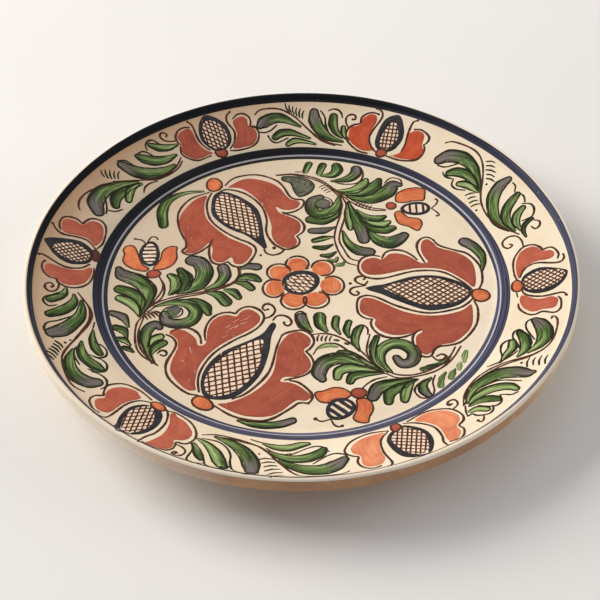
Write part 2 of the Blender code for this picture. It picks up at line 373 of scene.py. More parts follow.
class Look:
    """A glazed-earthenware material built from nodes."""

    def __init__(self, name, coat=0.35, coat_roughness=0.06):
        self.material = bpy.data.materials.new(name)
        self.material.use_nodes = True
        self.tree = self.material.node_tree
        self.shader = self.tree.nodes["Principled BSDF"]
        self.shader.inputs["Coat Weight"].default_value = coat
        self.shader.inputs["Coat Roughness"].default_value = coat_roughness
        self.shader.inputs["IOR"].default_value = 1.5
        self.shader.inputs["Specular IOR Level"].default_value = 0.2
        self.place = self.node("ShaderNodeTexCoord").outputs["Object"]

    def node(self, kind, **settings):
        made = self.tree.nodes.new(kind)
        for key, value in settings.items():
            setattr(made, key, value)
        return made

    def feed(self, socket, value):
        if isinstance(value, bpy.types.NodeSocket):
            self.tree.links.new(value, socket)
        elif isinstance(value, tuple) and len(value) == 3 and socket.type == "RGBA":
            socket.default_value = (*value, 1)
        else:
            socket.default_value = value

    def attribute(self, title):
        return self.node("ShaderNodeAttribute", attribute_name=title).outputs["Vector"]

    def split(self, vector):
        part = self.node("ShaderNodeSeparateXYZ")
        self.feed(part.inputs[0], vector)
        return part.outputs

    def scaled(self, vector, scale):
        made = self.node("ShaderNodeMapping")
        self.feed(made.inputs["Vector"], vector)
        made.inputs["Scale"].default_value = scale
        return made.outputs[0]

    def noise(self, vector, scale, detail=3.0, rough=0.55, warp=0.0):
        made = self.node("ShaderNodeTexNoise")
        self.feed(made.inputs["Vector"], vector)
        for key, value in (("Scale", scale), ("Detail", detail), ("Roughness", rough), ("Distortion", warp)):
            made.inputs[key].default_value = value
        return made.outputs["Fac"]

    def math(self, operation, a, b):
        made = self.node("ShaderNodeMath", operation=operation)
        self.feed(made.inputs[0], a)
        self.feed(made.inputs[1], b)
        return made.outputs[0]

    def plus(self, a, b):
        return self.math("ADD", a, b)

    def minus(self, a, b):
        return self.math("SUBTRACT", a, b)

    def times(self, a, b):
        return self.math("MULTIPLY", a, b)

    def sway(self, noise, amount):
        """A noise's departure from its mean, scaled."""
        return self.times(self.minus(noise, 0.5), amount)

    def span(self, value, low, high, to_low=0.0, to_high=1.0):
        """Stretches low..high to another range, and holds it there."""
        made = self.node("ShaderNodeMapRange")
        for socket, v in zip(made.inputs, (value, low, high, to_low, to_high)):
            self.feed(socket, v)
        return made.outputs[0]

    def mix(self, share, a, b, blend="MIX"):
        made = self.node("ShaderNodeMix", data_type="RGBA", blend_type=blend)
        self.feed(made.inputs[0], share)
        self.feed(made.inputs[6], a)
        self.feed(made.inputs[7], b)
        return made.outputs[2]

    def bump(self, height, strength=0.3, depth=0.0003, under=None):
        made = self.node("ShaderNodeBump")
        made.inputs["Strength"].default_value = strength
        made.inputs["Distance"].default_value = depth
        self.feed(made.inputs["Height"], height)
        if under is not None:
            self.feed(made.inputs["Normal"], under)
        return made.outputs[0]

    def finish(self, colour, roughness, normal):
        self.feed(self.shader.inputs["Base Color"], colour)
        self.feed(self.shader.inputs["Roughness"], roughness)
        self.feed(self.shader.inputs["Normal"], normal)
        return self.material


def tone(r, g, b):
    """A screen colour, 0 to 255, as the linear colour that the shader takes."""
    return tuple(c / 255 / 12.92 if c <= 10 else ((c / 255 + 0.055) / 1.055) ** 2.4 for c in (r, g, b))


def slip_look():
    """Cream slip: thick and thin where it was poured, wiped rings, iron specks, a fine glaze ripple, and
    painted shade toward the left and back of the face and flange.
    """
    m = Look("cream_slip", 0.25, 0.12)
    cloud = m.noise(m.place, 17, 4, 0.6)
    blotch = m.noise(m.place, 62, 3, 0.55)
    rings = m.noise(m.scaled(m.attribute("brush"), (0.004, 0.55, 0)), 1.0, 3)
    fine = m.noise(m.place, 900, 2)
    colour = m.mix(m.span(cloud, 0.36, 0.66), tone(237, 218, 187), tone(249, 232, 206))
    colour = m.mix(m.span(blotch, 0.45, 0.75, 0, 0.5), colour, tone(230, 212, 175))
    colour = m.mix(m.span(rings, 0.5, 0.75, 0, 0.35), colour, tone(250, 233, 213))
    # painted shade: the mask below, called thin, darkens the face toward the left and the back, fully in the
    # well and less on the flange
    across, away, _ = m.split(m.place)
    left = m.minus(m.times(away, 0.5), m.times(across, 0.8))
    left = m.plus(left, m.sway(cloud, 0.05))
    reach = m.split(m.attribute("brush"))[1]
    thin = m.times(m.span(left, -0.03, 0.10), m.span(reach, 98, 112, 1, 0.42))
    colour = m.mix(thin, colour, (0.68, 0.64, 0.62), "MULTIPLY")
    # painted shade: a tan darkening of the flange toward the left and the back, stopping short of the lip
    toward_lip = m.plus(left, m.span(reach, 122, 138, 0, 0.05))
    painted_flange_shade = m.times(m.span(toward_lip, 0.042, 0.15), m.span(reach, 104, 127))
    painted_flange_shade = m.times(painted_flange_shade, m.span(reach, 137.5, 136.5))
    colour = m.mix(painted_flange_shade, colour, (0.70, 0.53, 0.42), "MULTIPLY")
    colour = m.mix(m.span(reach, 136.8, 138, 0, 0.7), colour, tone(238, 229, 213))
    pits = m.node("ShaderNodeTexVoronoi", feature="F1")
    m.feed(pits.inputs["Vector"], m.place)
    pits.inputs["Scale"].default_value = 210
    rare = m.span(m.noise(m.place, 120, 1), 0.62, 0.66)
    speck = m.times(m.span(pits.outputs["Distance"], 0.13, 0.07), rare)
    colour = m.mix(m.times(speck, 0.55), colour, tone(120, 84, 52))
    roughness = m.span(blotch, 0.3, 0.7, 0.12, 0.24)
    ripple = m.bump(m.plus(m.noise(m.place, 160, 2), m.times(rings, 0.8)), 0.16, 0.0004)
    return m.finish(colour, roughness, m.bump(fine, 0.05, 0.0001, ripple))


def clay_look():
    """Buff earthenware with throwing lines, darker where the glaze pooled and rubbed pale on the edges. The
    front of the wall is bare clay made browner by painted shade, and its right side has a painted warm tint
    of light.
    """
    m = Look("buff_clay", coat=0.15)
    cloud = m.noise(m.place, 30, 5, 0.65)
    around = m.noise(m.scaled(m.attribute("brush"), (0.01, 0.8, 0.9)), 1.0, 4)
    grit = m.noise(m.place, 700, 2, 0.7)
    colour = m.mix(m.span(cloud, 0.35, 0.65), tone(238, 222, 200), tone(250, 239, 222))
    across, away, _ = m.split(m.place)
    front = m.minus(m.times(across, 0.26), m.times(away, 0.966))
    front = m.plus(front, m.sway(cloud, 0.06))
    # the front of the wall is bare buff clay, browner still as painted shade where it faces away from the
    # light
    bare = m.mix(m.span(cloud, 0.35, 0.65), tone(166, 122, 87), tone(190, 149, 110))
    # painted warm tint of light on the right side of the wall
    colour = m.mix(m.span(across, 0.02, 0.09), colour, (1.0, 0.94, 0.78), "MULTIPLY")
    colour = m.mix(m.span(front, 0.083, 0.125), colour, bare)
    colour = m.mix(m.span(around, 0.48, 0.7, 0, 0.35), colour, tone(176, 138, 106))
    colour = m.mix(m.span(grit, 0.64, 0.72, 0, 0.35), colour, tone(112, 82, 60))
    rub = m.noise(m.place, 85, 3)
    colour = m.mix(m.span(rub, 0.6, 0.72, 0, 0.7), colour, tone(212, 184, 146))
    wet = m.span(cloud, 0.3, 0.7, 0.34, 0.6)
    return m.finish(colour, wet, m.bump(m.plus(around, m.times(grit, 0.35)), 0.35, 0.0005))


def paint_look(name, thin, full, deep, streak=(0.055, 0.9), worn=0.35, wear=0.45, coat=0.16, edge=0.35,
               rough=(0.26, 0.42)):
    """Brushed slip paint: streaks along the stroke, thin patches, a darker pooled edge, rubbed flecks."""
    m = Look(name, coat, 0.24)
    brush = m.attribute("brush")
    streaks = m.noise(m.scaled(brush, (streak[0], streak[1], 0.37)), 1.0, 4, 0.6, 0.3)
    patch = m.noise(m.place, 90, 3, 0.6)
    ink = m.split(m.attribute("ink"))
    colour = m.mix(m.span(streaks, 0.35, 0.68), full, thin)
    colour = m.mix(m.span(patch, 0.42, 0.72, 0, 0.7), colour, deep)
    colour = m.mix(m.times(ink[2], edge), colour, deep)
    colour = m.mix(m.span(ink[1], 0.5, 1.0, 0, 0.8), colour, thin)
    colour = m.mix(m.span(ink[1], 0.5, 0.0, 0, 0.8), colour, deep)
    scratch = m.noise(m.scaled(m.place, (900, 160, 300)), 1.0, 2, 0.5, 0.6)
    flecks = m.times(m.span(scratch, 0.66, 0.72), m.span(patch, 0.5, 0.62))
    colour = m.mix(m.times(flecks, wear), colour, tone(232, 200, 168))
    roughness = m.span(streaks, 0.3, 0.7, *rough)
    grain = m.bump(streaks, worn, 0.00025)
    return m.finish(colour, roughness, m.bump(m.noise(m.place, 500, 2), 0.06, 0.0001, grain))


def leaf_look():
    """Copper green loaded on one side of the brush: pale and dark streaks, with a slate grey tip."""
    m = Look("leaf_green", 0.14, 0.24)
    brush = m.attribute("brush")
    ink = m.split(m.attribute("ink"))
    streaks = m.noise(m.scaled(brush, (0.07, 1.15, 0.37)), 1.0, 4, 0.6, 0.35)
    hair = m.noise(m.scaled(brush, (0.12, 3.4, 0.37)), 1.0, 2)
    body = m.plus(m.sway(streaks, 2.3), ink[1])
    body = m.plus(body, m.sway(hair, 0.8))
    colour = m.mix(m.span(body, 0.05, 0.55), tone(24, 29, 12), tone(84, 112, 50))
    colour = m.mix(m.span(body, 0.52, 1.0), colour, tone(174, 194, 126))
    grey = m.mix(m.span(streaks, 0.35, 0.7), tone(82, 75, 71), tone(146, 135, 127))
    colour = m.mix(m.span(m.plus(ink[0], m.times(streaks, 0.35)), 0.5, 1.0), colour, grey)
    colour = m.mix(m.times(ink[2], 0.8), colour, tone(24, 26, 13))
    roughness = m.span(streaks, 0.3, 0.7, 0.26, 0.4)
    return m.finish(colour, roughness, m.bump(hair, 0.3, 0.0002))


# the pale line between the well line and the well band, painted bluish white as a highlight: its radius, and
# how far it leans to +x and to -y
GAP_R = 100.5
GAP_LEAN = (0.2, 0.55)


def band_look():
    """Dark blue slip laid with a wide brush on the wheel: it thins to a streaky blue grey, paler toward the
    front and right as a painted sheen, with a painted highlight as a pale line in the well band.
    """
    m = Look("band_navy", 0.2, 0.2)
    brush = m.attribute("brush")
    around = m.noise(m.scaled(brush, (0.009, 1.3, 0)), 1.0, 4, 0.6, 0.2)
    wide = m.noise(m.place, 7, 2)
    hair = m.noise(m.scaled(brush, (0.02, 5, 0)), 1.0, 3)
    # painted sheen: near grows toward the front and the right, where the blue is paler and its pale streaks
    # are stronger
    across, away, _ = m.split(m.place)
    near = m.minus(m.times(across, 0.6), away)
    near = m.span(m.plus(near, m.times(wide, 0.04)), -0.09, 0.09)
    dark = m.mix(near, tone(9, 9, 12), tone(34, 34, 48))
    pale = m.mix(near, tone(18, 18, 24), tone(98, 101, 130))
    colour = m.mix(m.span(around, 0.38, 0.72), dark, pale)
    colour = m.mix(m.times(m.span(hair, 0.5, 0.72), m.times(near, 0.5)),
                   colour, tone(126, 128, 152))
    # painted highlight: a bluish white line along the inner edge of the well band, leaning toward the front
    # and right
    behind = m.minus(m.times(away, GAP_LEAN[1]), m.times(across, GAP_LEAN[0]))
    reach = m.plus(m.split(brush)[1], m.math("DIVIDE", behind, GAP_R * MM))
    gap = m.times(m.span(reach, GAP_R - 0.05, GAP_R + 0.1), m.span(reach, GAP_R + 0.85, GAP_R + 0.55))
    colour = m.mix(m.times(gap, 0.85), colour, tone(196, 196, 210))
    chips = m.noise(m.place, 330, 2, 0.5, 0.4)
    colour = m.mix(m.span(chips, 0.74, 0.78, 0, 0.6), colour, tone(150, 134, 118))
    roughness = m.span(around, 0.3, 0.7, 0.22, 0.38)
    return m.finish(colour, roughness, m.bump(hair, 0.22, 0.00025))


def floor_look():
    """A plain, pale, matt studio floor."""
    m = Look("studio_floor", 0.0)
    cloud = m.noise(m.place, 3, 2)
    colour = m.mix(m.span(cloud, 0.3, 0.7), tone(235, 233, 230), tone(242, 240, 237))
    return m.finish(colour, m.span(cloud, 0.3, 0.7, 0.7, 0.8), m.bump(m.noise(m.place, 300, 2), 0.03, 0.0005))


SLIP = slip_look()
CLAY = clay_look()
NAVY = band_look()
RED = paint_look("brick_red", tone(183, 95, 69), tone(168, 80, 58), tone(146, 62, 44), worn=0.15, wear=0.5)
PALE_RED = paint_look("pale_red", tone(200, 110, 82), tone(187, 95, 70), tone(163, 74, 53), worn=0.15,
                      wear=0.3)
ORANGE = paint_look("orange", tone(236, 148, 94), tone(214, 108, 64), tone(186, 82, 48), worn=0.2)
PALE_ORANGE = paint_look("pale_orange", tone(240, 162, 118), tone(224, 132, 92), tone(198, 102, 66), worn=0.2)
DEEP_ORANGE = paint_look("deep_orange", tone(214, 100, 58), tone(198, 78, 40), tone(166, 58, 30), worn=0.2)
BLUSH = paint_look("pod_ground", tone(250, 228, 204), tone(243, 214, 186), tone(230, 194, 160), wear=0.2,
                   edge=0.2)
CHARCOAL = paint_look("charcoal", tone(66, 63, 68), tone(34, 32, 36), tone(20, 18, 20), streak=(0.06, 1.2),
                      worn=0.2)
BROWN = paint_look("brown_line", tone(104, 62, 44), tone(72, 40, 28), tone(48, 27, 19), streak=(0.3, 1.4),
                   edge=0.2, coat=0.04, rough=(0.4, 0.58))
MAROON = paint_look("maroon", tone(118, 66, 54), tone(96, 50, 42), tone(72, 36, 30), worn=0.2)
DARK_GREEN = paint_look("leaf_outline", tone(58, 60, 32), tone(28, 28, 14), tone(18, 18, 9),
                        streak=(0.3, 1.4), edge=0.2, coat=0.04, rough=(0.4, 0.58))
GREEN = leaf_look()


# ---------------------------------------------------------------- the thrown body, slip and bands


def face_at(r):
    """Height of the face at a radius, before its unevenness, which turned() adds to every point."""
    return WELL_Z + float(np.interp(r, FACE_R, FACE_H))


def welded(piece):
    """Joins the points that meet on the axis."""
    b = bmesh.new()
    b.from_mesh(piece.data)
    bmesh.ops.remove_doubles(b, verts=b.verts, dist=1e-7)
    b.to_mesh(piece.data)
    b.free()
    return piece


# radius and height above the well, from the lip down the outer wall to the middle of the base
UNDERSIDE = [(139, 11.6), (138.95, 9.6), (138.6, 7.9), (137.6, 6.9), (136, 6.1), (120, 0.6), (104, -4.5),
             (97, -6.3), (90, -7.4), (84, -7.6), (60, -7.3), (30, -7.1), (0, -7.0)]
# radii where the hidden and the glazed faces of a turned piece get their rings of points
COARSE_R = list(range(0, 96, 6)) + [96.5, 98, 99.2, 100.6, 103, 105.2, 107, 113, 120, 127, 133, 134.1, 135.1]
FINE_R = [*np.arange(0, 96, 1.1), *np.arange(96, 107, 0.6), *np.arange(107, 133, 2.2), 133, 134.1, 135.1]


def body_section(a):
    top = [(r, face_at(r) - COAT * 0.8) for r in COARSE_R]
    top += [(r, WELL_Z + z) for r, z in lip_arc(LIP_START, 4, 14, 0.24)]
    corner = np.arange(len(UNDERSIDE))
    along = np.linspace(0, corner[-1], 6 * corner[-1] + 1)
    r, z = (np.interp(along, corner, column) for column in np.array(UNDERSIDE).T)
    ridge = 0.16 * np.sin(r * 1.35 + 0.5 * math.sin(a)) * np.clip((137 - r) / 20, 0, 1)
    return top + [(p, WELL_Z + q + s) for p, q, s in zip(r, z, ridge)]


def slip_section(a):
    end = 28 + 6 * math.sin(3 * a + 1) + 3 * math.sin(8 * a) + 2 * math.sin(19 * a + 2)
    top = [(r, face_at(r)) for r in FINE_R] + [(r, WELL_Z + z) for r, z in lip_arc(LIP_START, end, 14)]
    under = [(r, WELL_Z + z) for r, z in lip_arc(end - 4, LIP_START, 14, COAT)]
    return top + under + [(r, face_at(r) - COAT) for r in reversed(COARSE_R)]


def foot_section(a):
    wave = 0.12 * math.sin(2 * a + 0.7)
    return [(73.2 + wave, 5.8), (73.6, 2.2), (74.4, 0.7), (75.6, 0.26), (77.5, 0.14), (80.4, 0.14),
            (82, 0.34), (83, 1.1), (83.3 + wave, 2.6), (84.2, 5.2), (86.4, 6.0)]


# a painted band's height over the face, and how far its edges wander
BAND_HIGH = 0.08
BAND_WANDER = 0.09


def ring_section(inner, outer, cuts):
    """The cross-section of a painted band whose two edges wander with the angle."""
    def section(a):
        r = np.linspace(inner(a), outer(a), cuts)
        lift = np.full(cuts, BAND_HIGH)
        lift[0] = lift[-1] = -SINK
        top = [(p, face_at(p) + q) for p, q in zip(r, lift)]
        return top + [(p, face_at(p) - 2 * SINK) for p in r[::-1]]
    return section


# the bearing in degrees, and the radii of the rim band's inner and outer edge there: it is broad at the
# back and one thin line in front
RIM_BAND = [(-180, 134.2, 137), (-155, 134.3, 136.8), (-135, 135.7, 136.9), (-90, 136.2, 137.1),
            (-60, 135.1, 136), (-45, 135.1, 136.9), (-20, 135.3, 137.9), (0, 134.5, 137.6),
            (20, 133.1, 136.9), (50, 132.8, 136.9), (75, 132.8, 138), (125, 132.8, 138.2),
            (150, 133.5, 137.2), (180, 134.2, 137)]

# the same for the well line's inner edge and the well band's outer edge
WELL_BAND = [(-180, 98.1, 105.8), (-135, 98.1, 105.3), (-110, 99.1, 105.7), (-90, 98.95, 106),
             (-45, 98.5, 106), (-20, 99, 106.1), (0, 99.4, 105.8), (20, 98.4, 104.4), (45, 97.8, 104.4),
             (90, 97.8, 105.3), (180, 98.1, 105.8)]


def followed(bearing, radius, seed):
    """An edge at the radius given for each bearing, as a brush on a slow wheel leaves it."""
    def edge(a):
        shake = math.sin(a + seed) + 0.5 * math.sin(3 * a + 2 * seed)
        shake += 0.28 * math.sin(11 * a + seed) + 0.16 * math.sin(29 * a)
        return float(np.interp(math.degrees(a), bearing, radius, period=360)) + BAND_WANDER * shake
    return edge


def gap_edge(beyond):
    """The radius where the well line ends and the well band, with its painted pale highlight line, starts."""
    return lambda a: GAP_R + beyond + GAP_LEAN[0] * math.cos(a) - GAP_LEAN[1] * math.sin(a)


def band(name, node, inner, outer, cuts):
    """A blue band between two wandering edges."""
    turned(name, ring_section(inner, outer, cuts), node, NAVY, BAND_STEPS)


def make_body():
    welded(turned("clay_body_shell", body_section, "clay_body", CLAY))
    turned("foot_ring_turned", foot_section, "foot_ring", CLAY)
    welded(turned("slip_coat", slip_section, "slip_ground", SLIP))
    bearing, inner, outer = np.array(RIM_BAND).T
    band("rim_band_blue", "rim_band", followed(bearing, inner, 0.5), followed(bearing, outer, 2), 13)
    bearing, inner, outer = np.array(WELL_BAND).T
    band("well_band_blue", "well_band", gap_edge(-0.14), followed(bearing, outer, 4), 12)
    band("well_line_blue", "well_line", followed(bearing, inner, 3), gap_edge(0.06), 6)


# ---------------------------------------------------------------- flowers

# half-widths of the brush lines: on the big tulips, on the rim's, and on leaves and buds
LINE = 0.74
RIM_LINE = 0.66
FINE = 0.6

# a net line is left out where it would be shorter than this, and shakes by this much
NET_SHORTEST = 1.2
NET_SHAKE = 0.12


def hatch(piece, look, outline, sets, width, high=0.13):
    """Fills an outline with hand-drawn crossing lines. Each set is an angle and a spacing."""
    loop = smooth(outline, 1.0, True)[0]
    for angle, spacing in sets:
        t = math.radians(angle)
        along, over = np.array([math.cos(t), math.sin(t)]), np.array([-math.sin(t), math.cos(t)])
        centre = loop.mean(0)
        reach, run = (loop - centre) @ over, (loop - centre) @ along
        for c in np.arange(reach.min() + spacing / 2, reach.max() - 0.3, spacing):
            c += rng.uniform(-NET_SHAKE, NET_SHAKE)
            lean = rng.uniform(-0.012, 0.012)
            side = reach - c - lean * run
            cut = []
            for k in range(len(loop)):
                j = (k + 1) % len(loop)
                if (side[k] < 0) != (side[j] < 0):
                    f = side[k] / (side[k] - side[j])
                    cut.append(run[k] + f * (run[j] - run[k]))
            cut.sort()
            for p, q in zip(cut[::2], cut[1::2]):
                if q - p > NET_SHORTEST:
                    bow = rng.uniform(-NET_SHAKE, NET_SHAKE)
                    line = [centre + along * s + over * (c + lean * s + h)
                            for s, h in ((p - 0.5, 0), ((p + q) / 2, bow), (q + 0.5, 0))]
                    piece.stroke(line, width, high=high, look=look, step=1.5)


def draw_lines(piece, look, lines, width=LINE):
    """Lines of brush-thick ink: each swells a little in its middle and ends fine."""
    for text in lines:
        path = pts(text)
        wide = np.full(len(path), width)
        wide[0] *= 0.75
        wide[-1] *= 0.8
        if len(path) > 4:
            wide[len(path) // 2] *= 1.2
        piece.stroke(path, wide, high=0.16, look=look)


def tulip(name, slot, petal, ball, outer, inner, hatching, petals, lines, dots, scratches=(), knob=ORANGE,
          line=LINE):
    """A tulip: its petals, the netted pod between them, the ball that it springs from, and its outlines.

    ball is an ellipse: its centre, half-axes and tilt. outer and inner are the two edges of the pod's dark
    frame. hatching holds an angle and a spacing for each set of net lines. A dot is its centre and radius.
    Scratches bare the pale ground under the petals."""
    middle = pts(outer).mean(0)
    body = Paint(name + "_petals", name, slot, petal, *([BLUSH] if scratches else []))
    for k, text in enumerate(petals):
        body.fill(pts(text), focus=middle, high=0.07 + 0.006 * k)
    for text in scratches:
        body.stroke(pts(text), 0.17, high=0.11, look=1, step=0.6)
    body.finish()
    pod = Paint(name + "_pod", name, "band_blue", BLUSH, CHARCOAL, BROWN)
    pod.fill(pts(outer), high=0.05, look=0, focus=middle)
    hatch(pod, 2, pts(inner), hatching, line * 0.9)
    pod.fill(pts(outer), pts(inner), high=0.16, look=1, focus=middle)
    pod.finish()
    base = Paint(name + "_ball", name, "petal_orange" if knob is ORANGE else "petal_red", knob, BROWN)
    base.fill(ellipse(*ball), high=0.12)
    base.stroke(ellipse(*ball), line, high=0.18, look=1, closed=True)
    base.finish()
    ink = Paint(name + "_lines", name, slot, BROWN)
    draw_lines(ink, 0, lines, line)
    for x, y, r in dots:
        ink.blob(x, y, r)
    ink.finish()


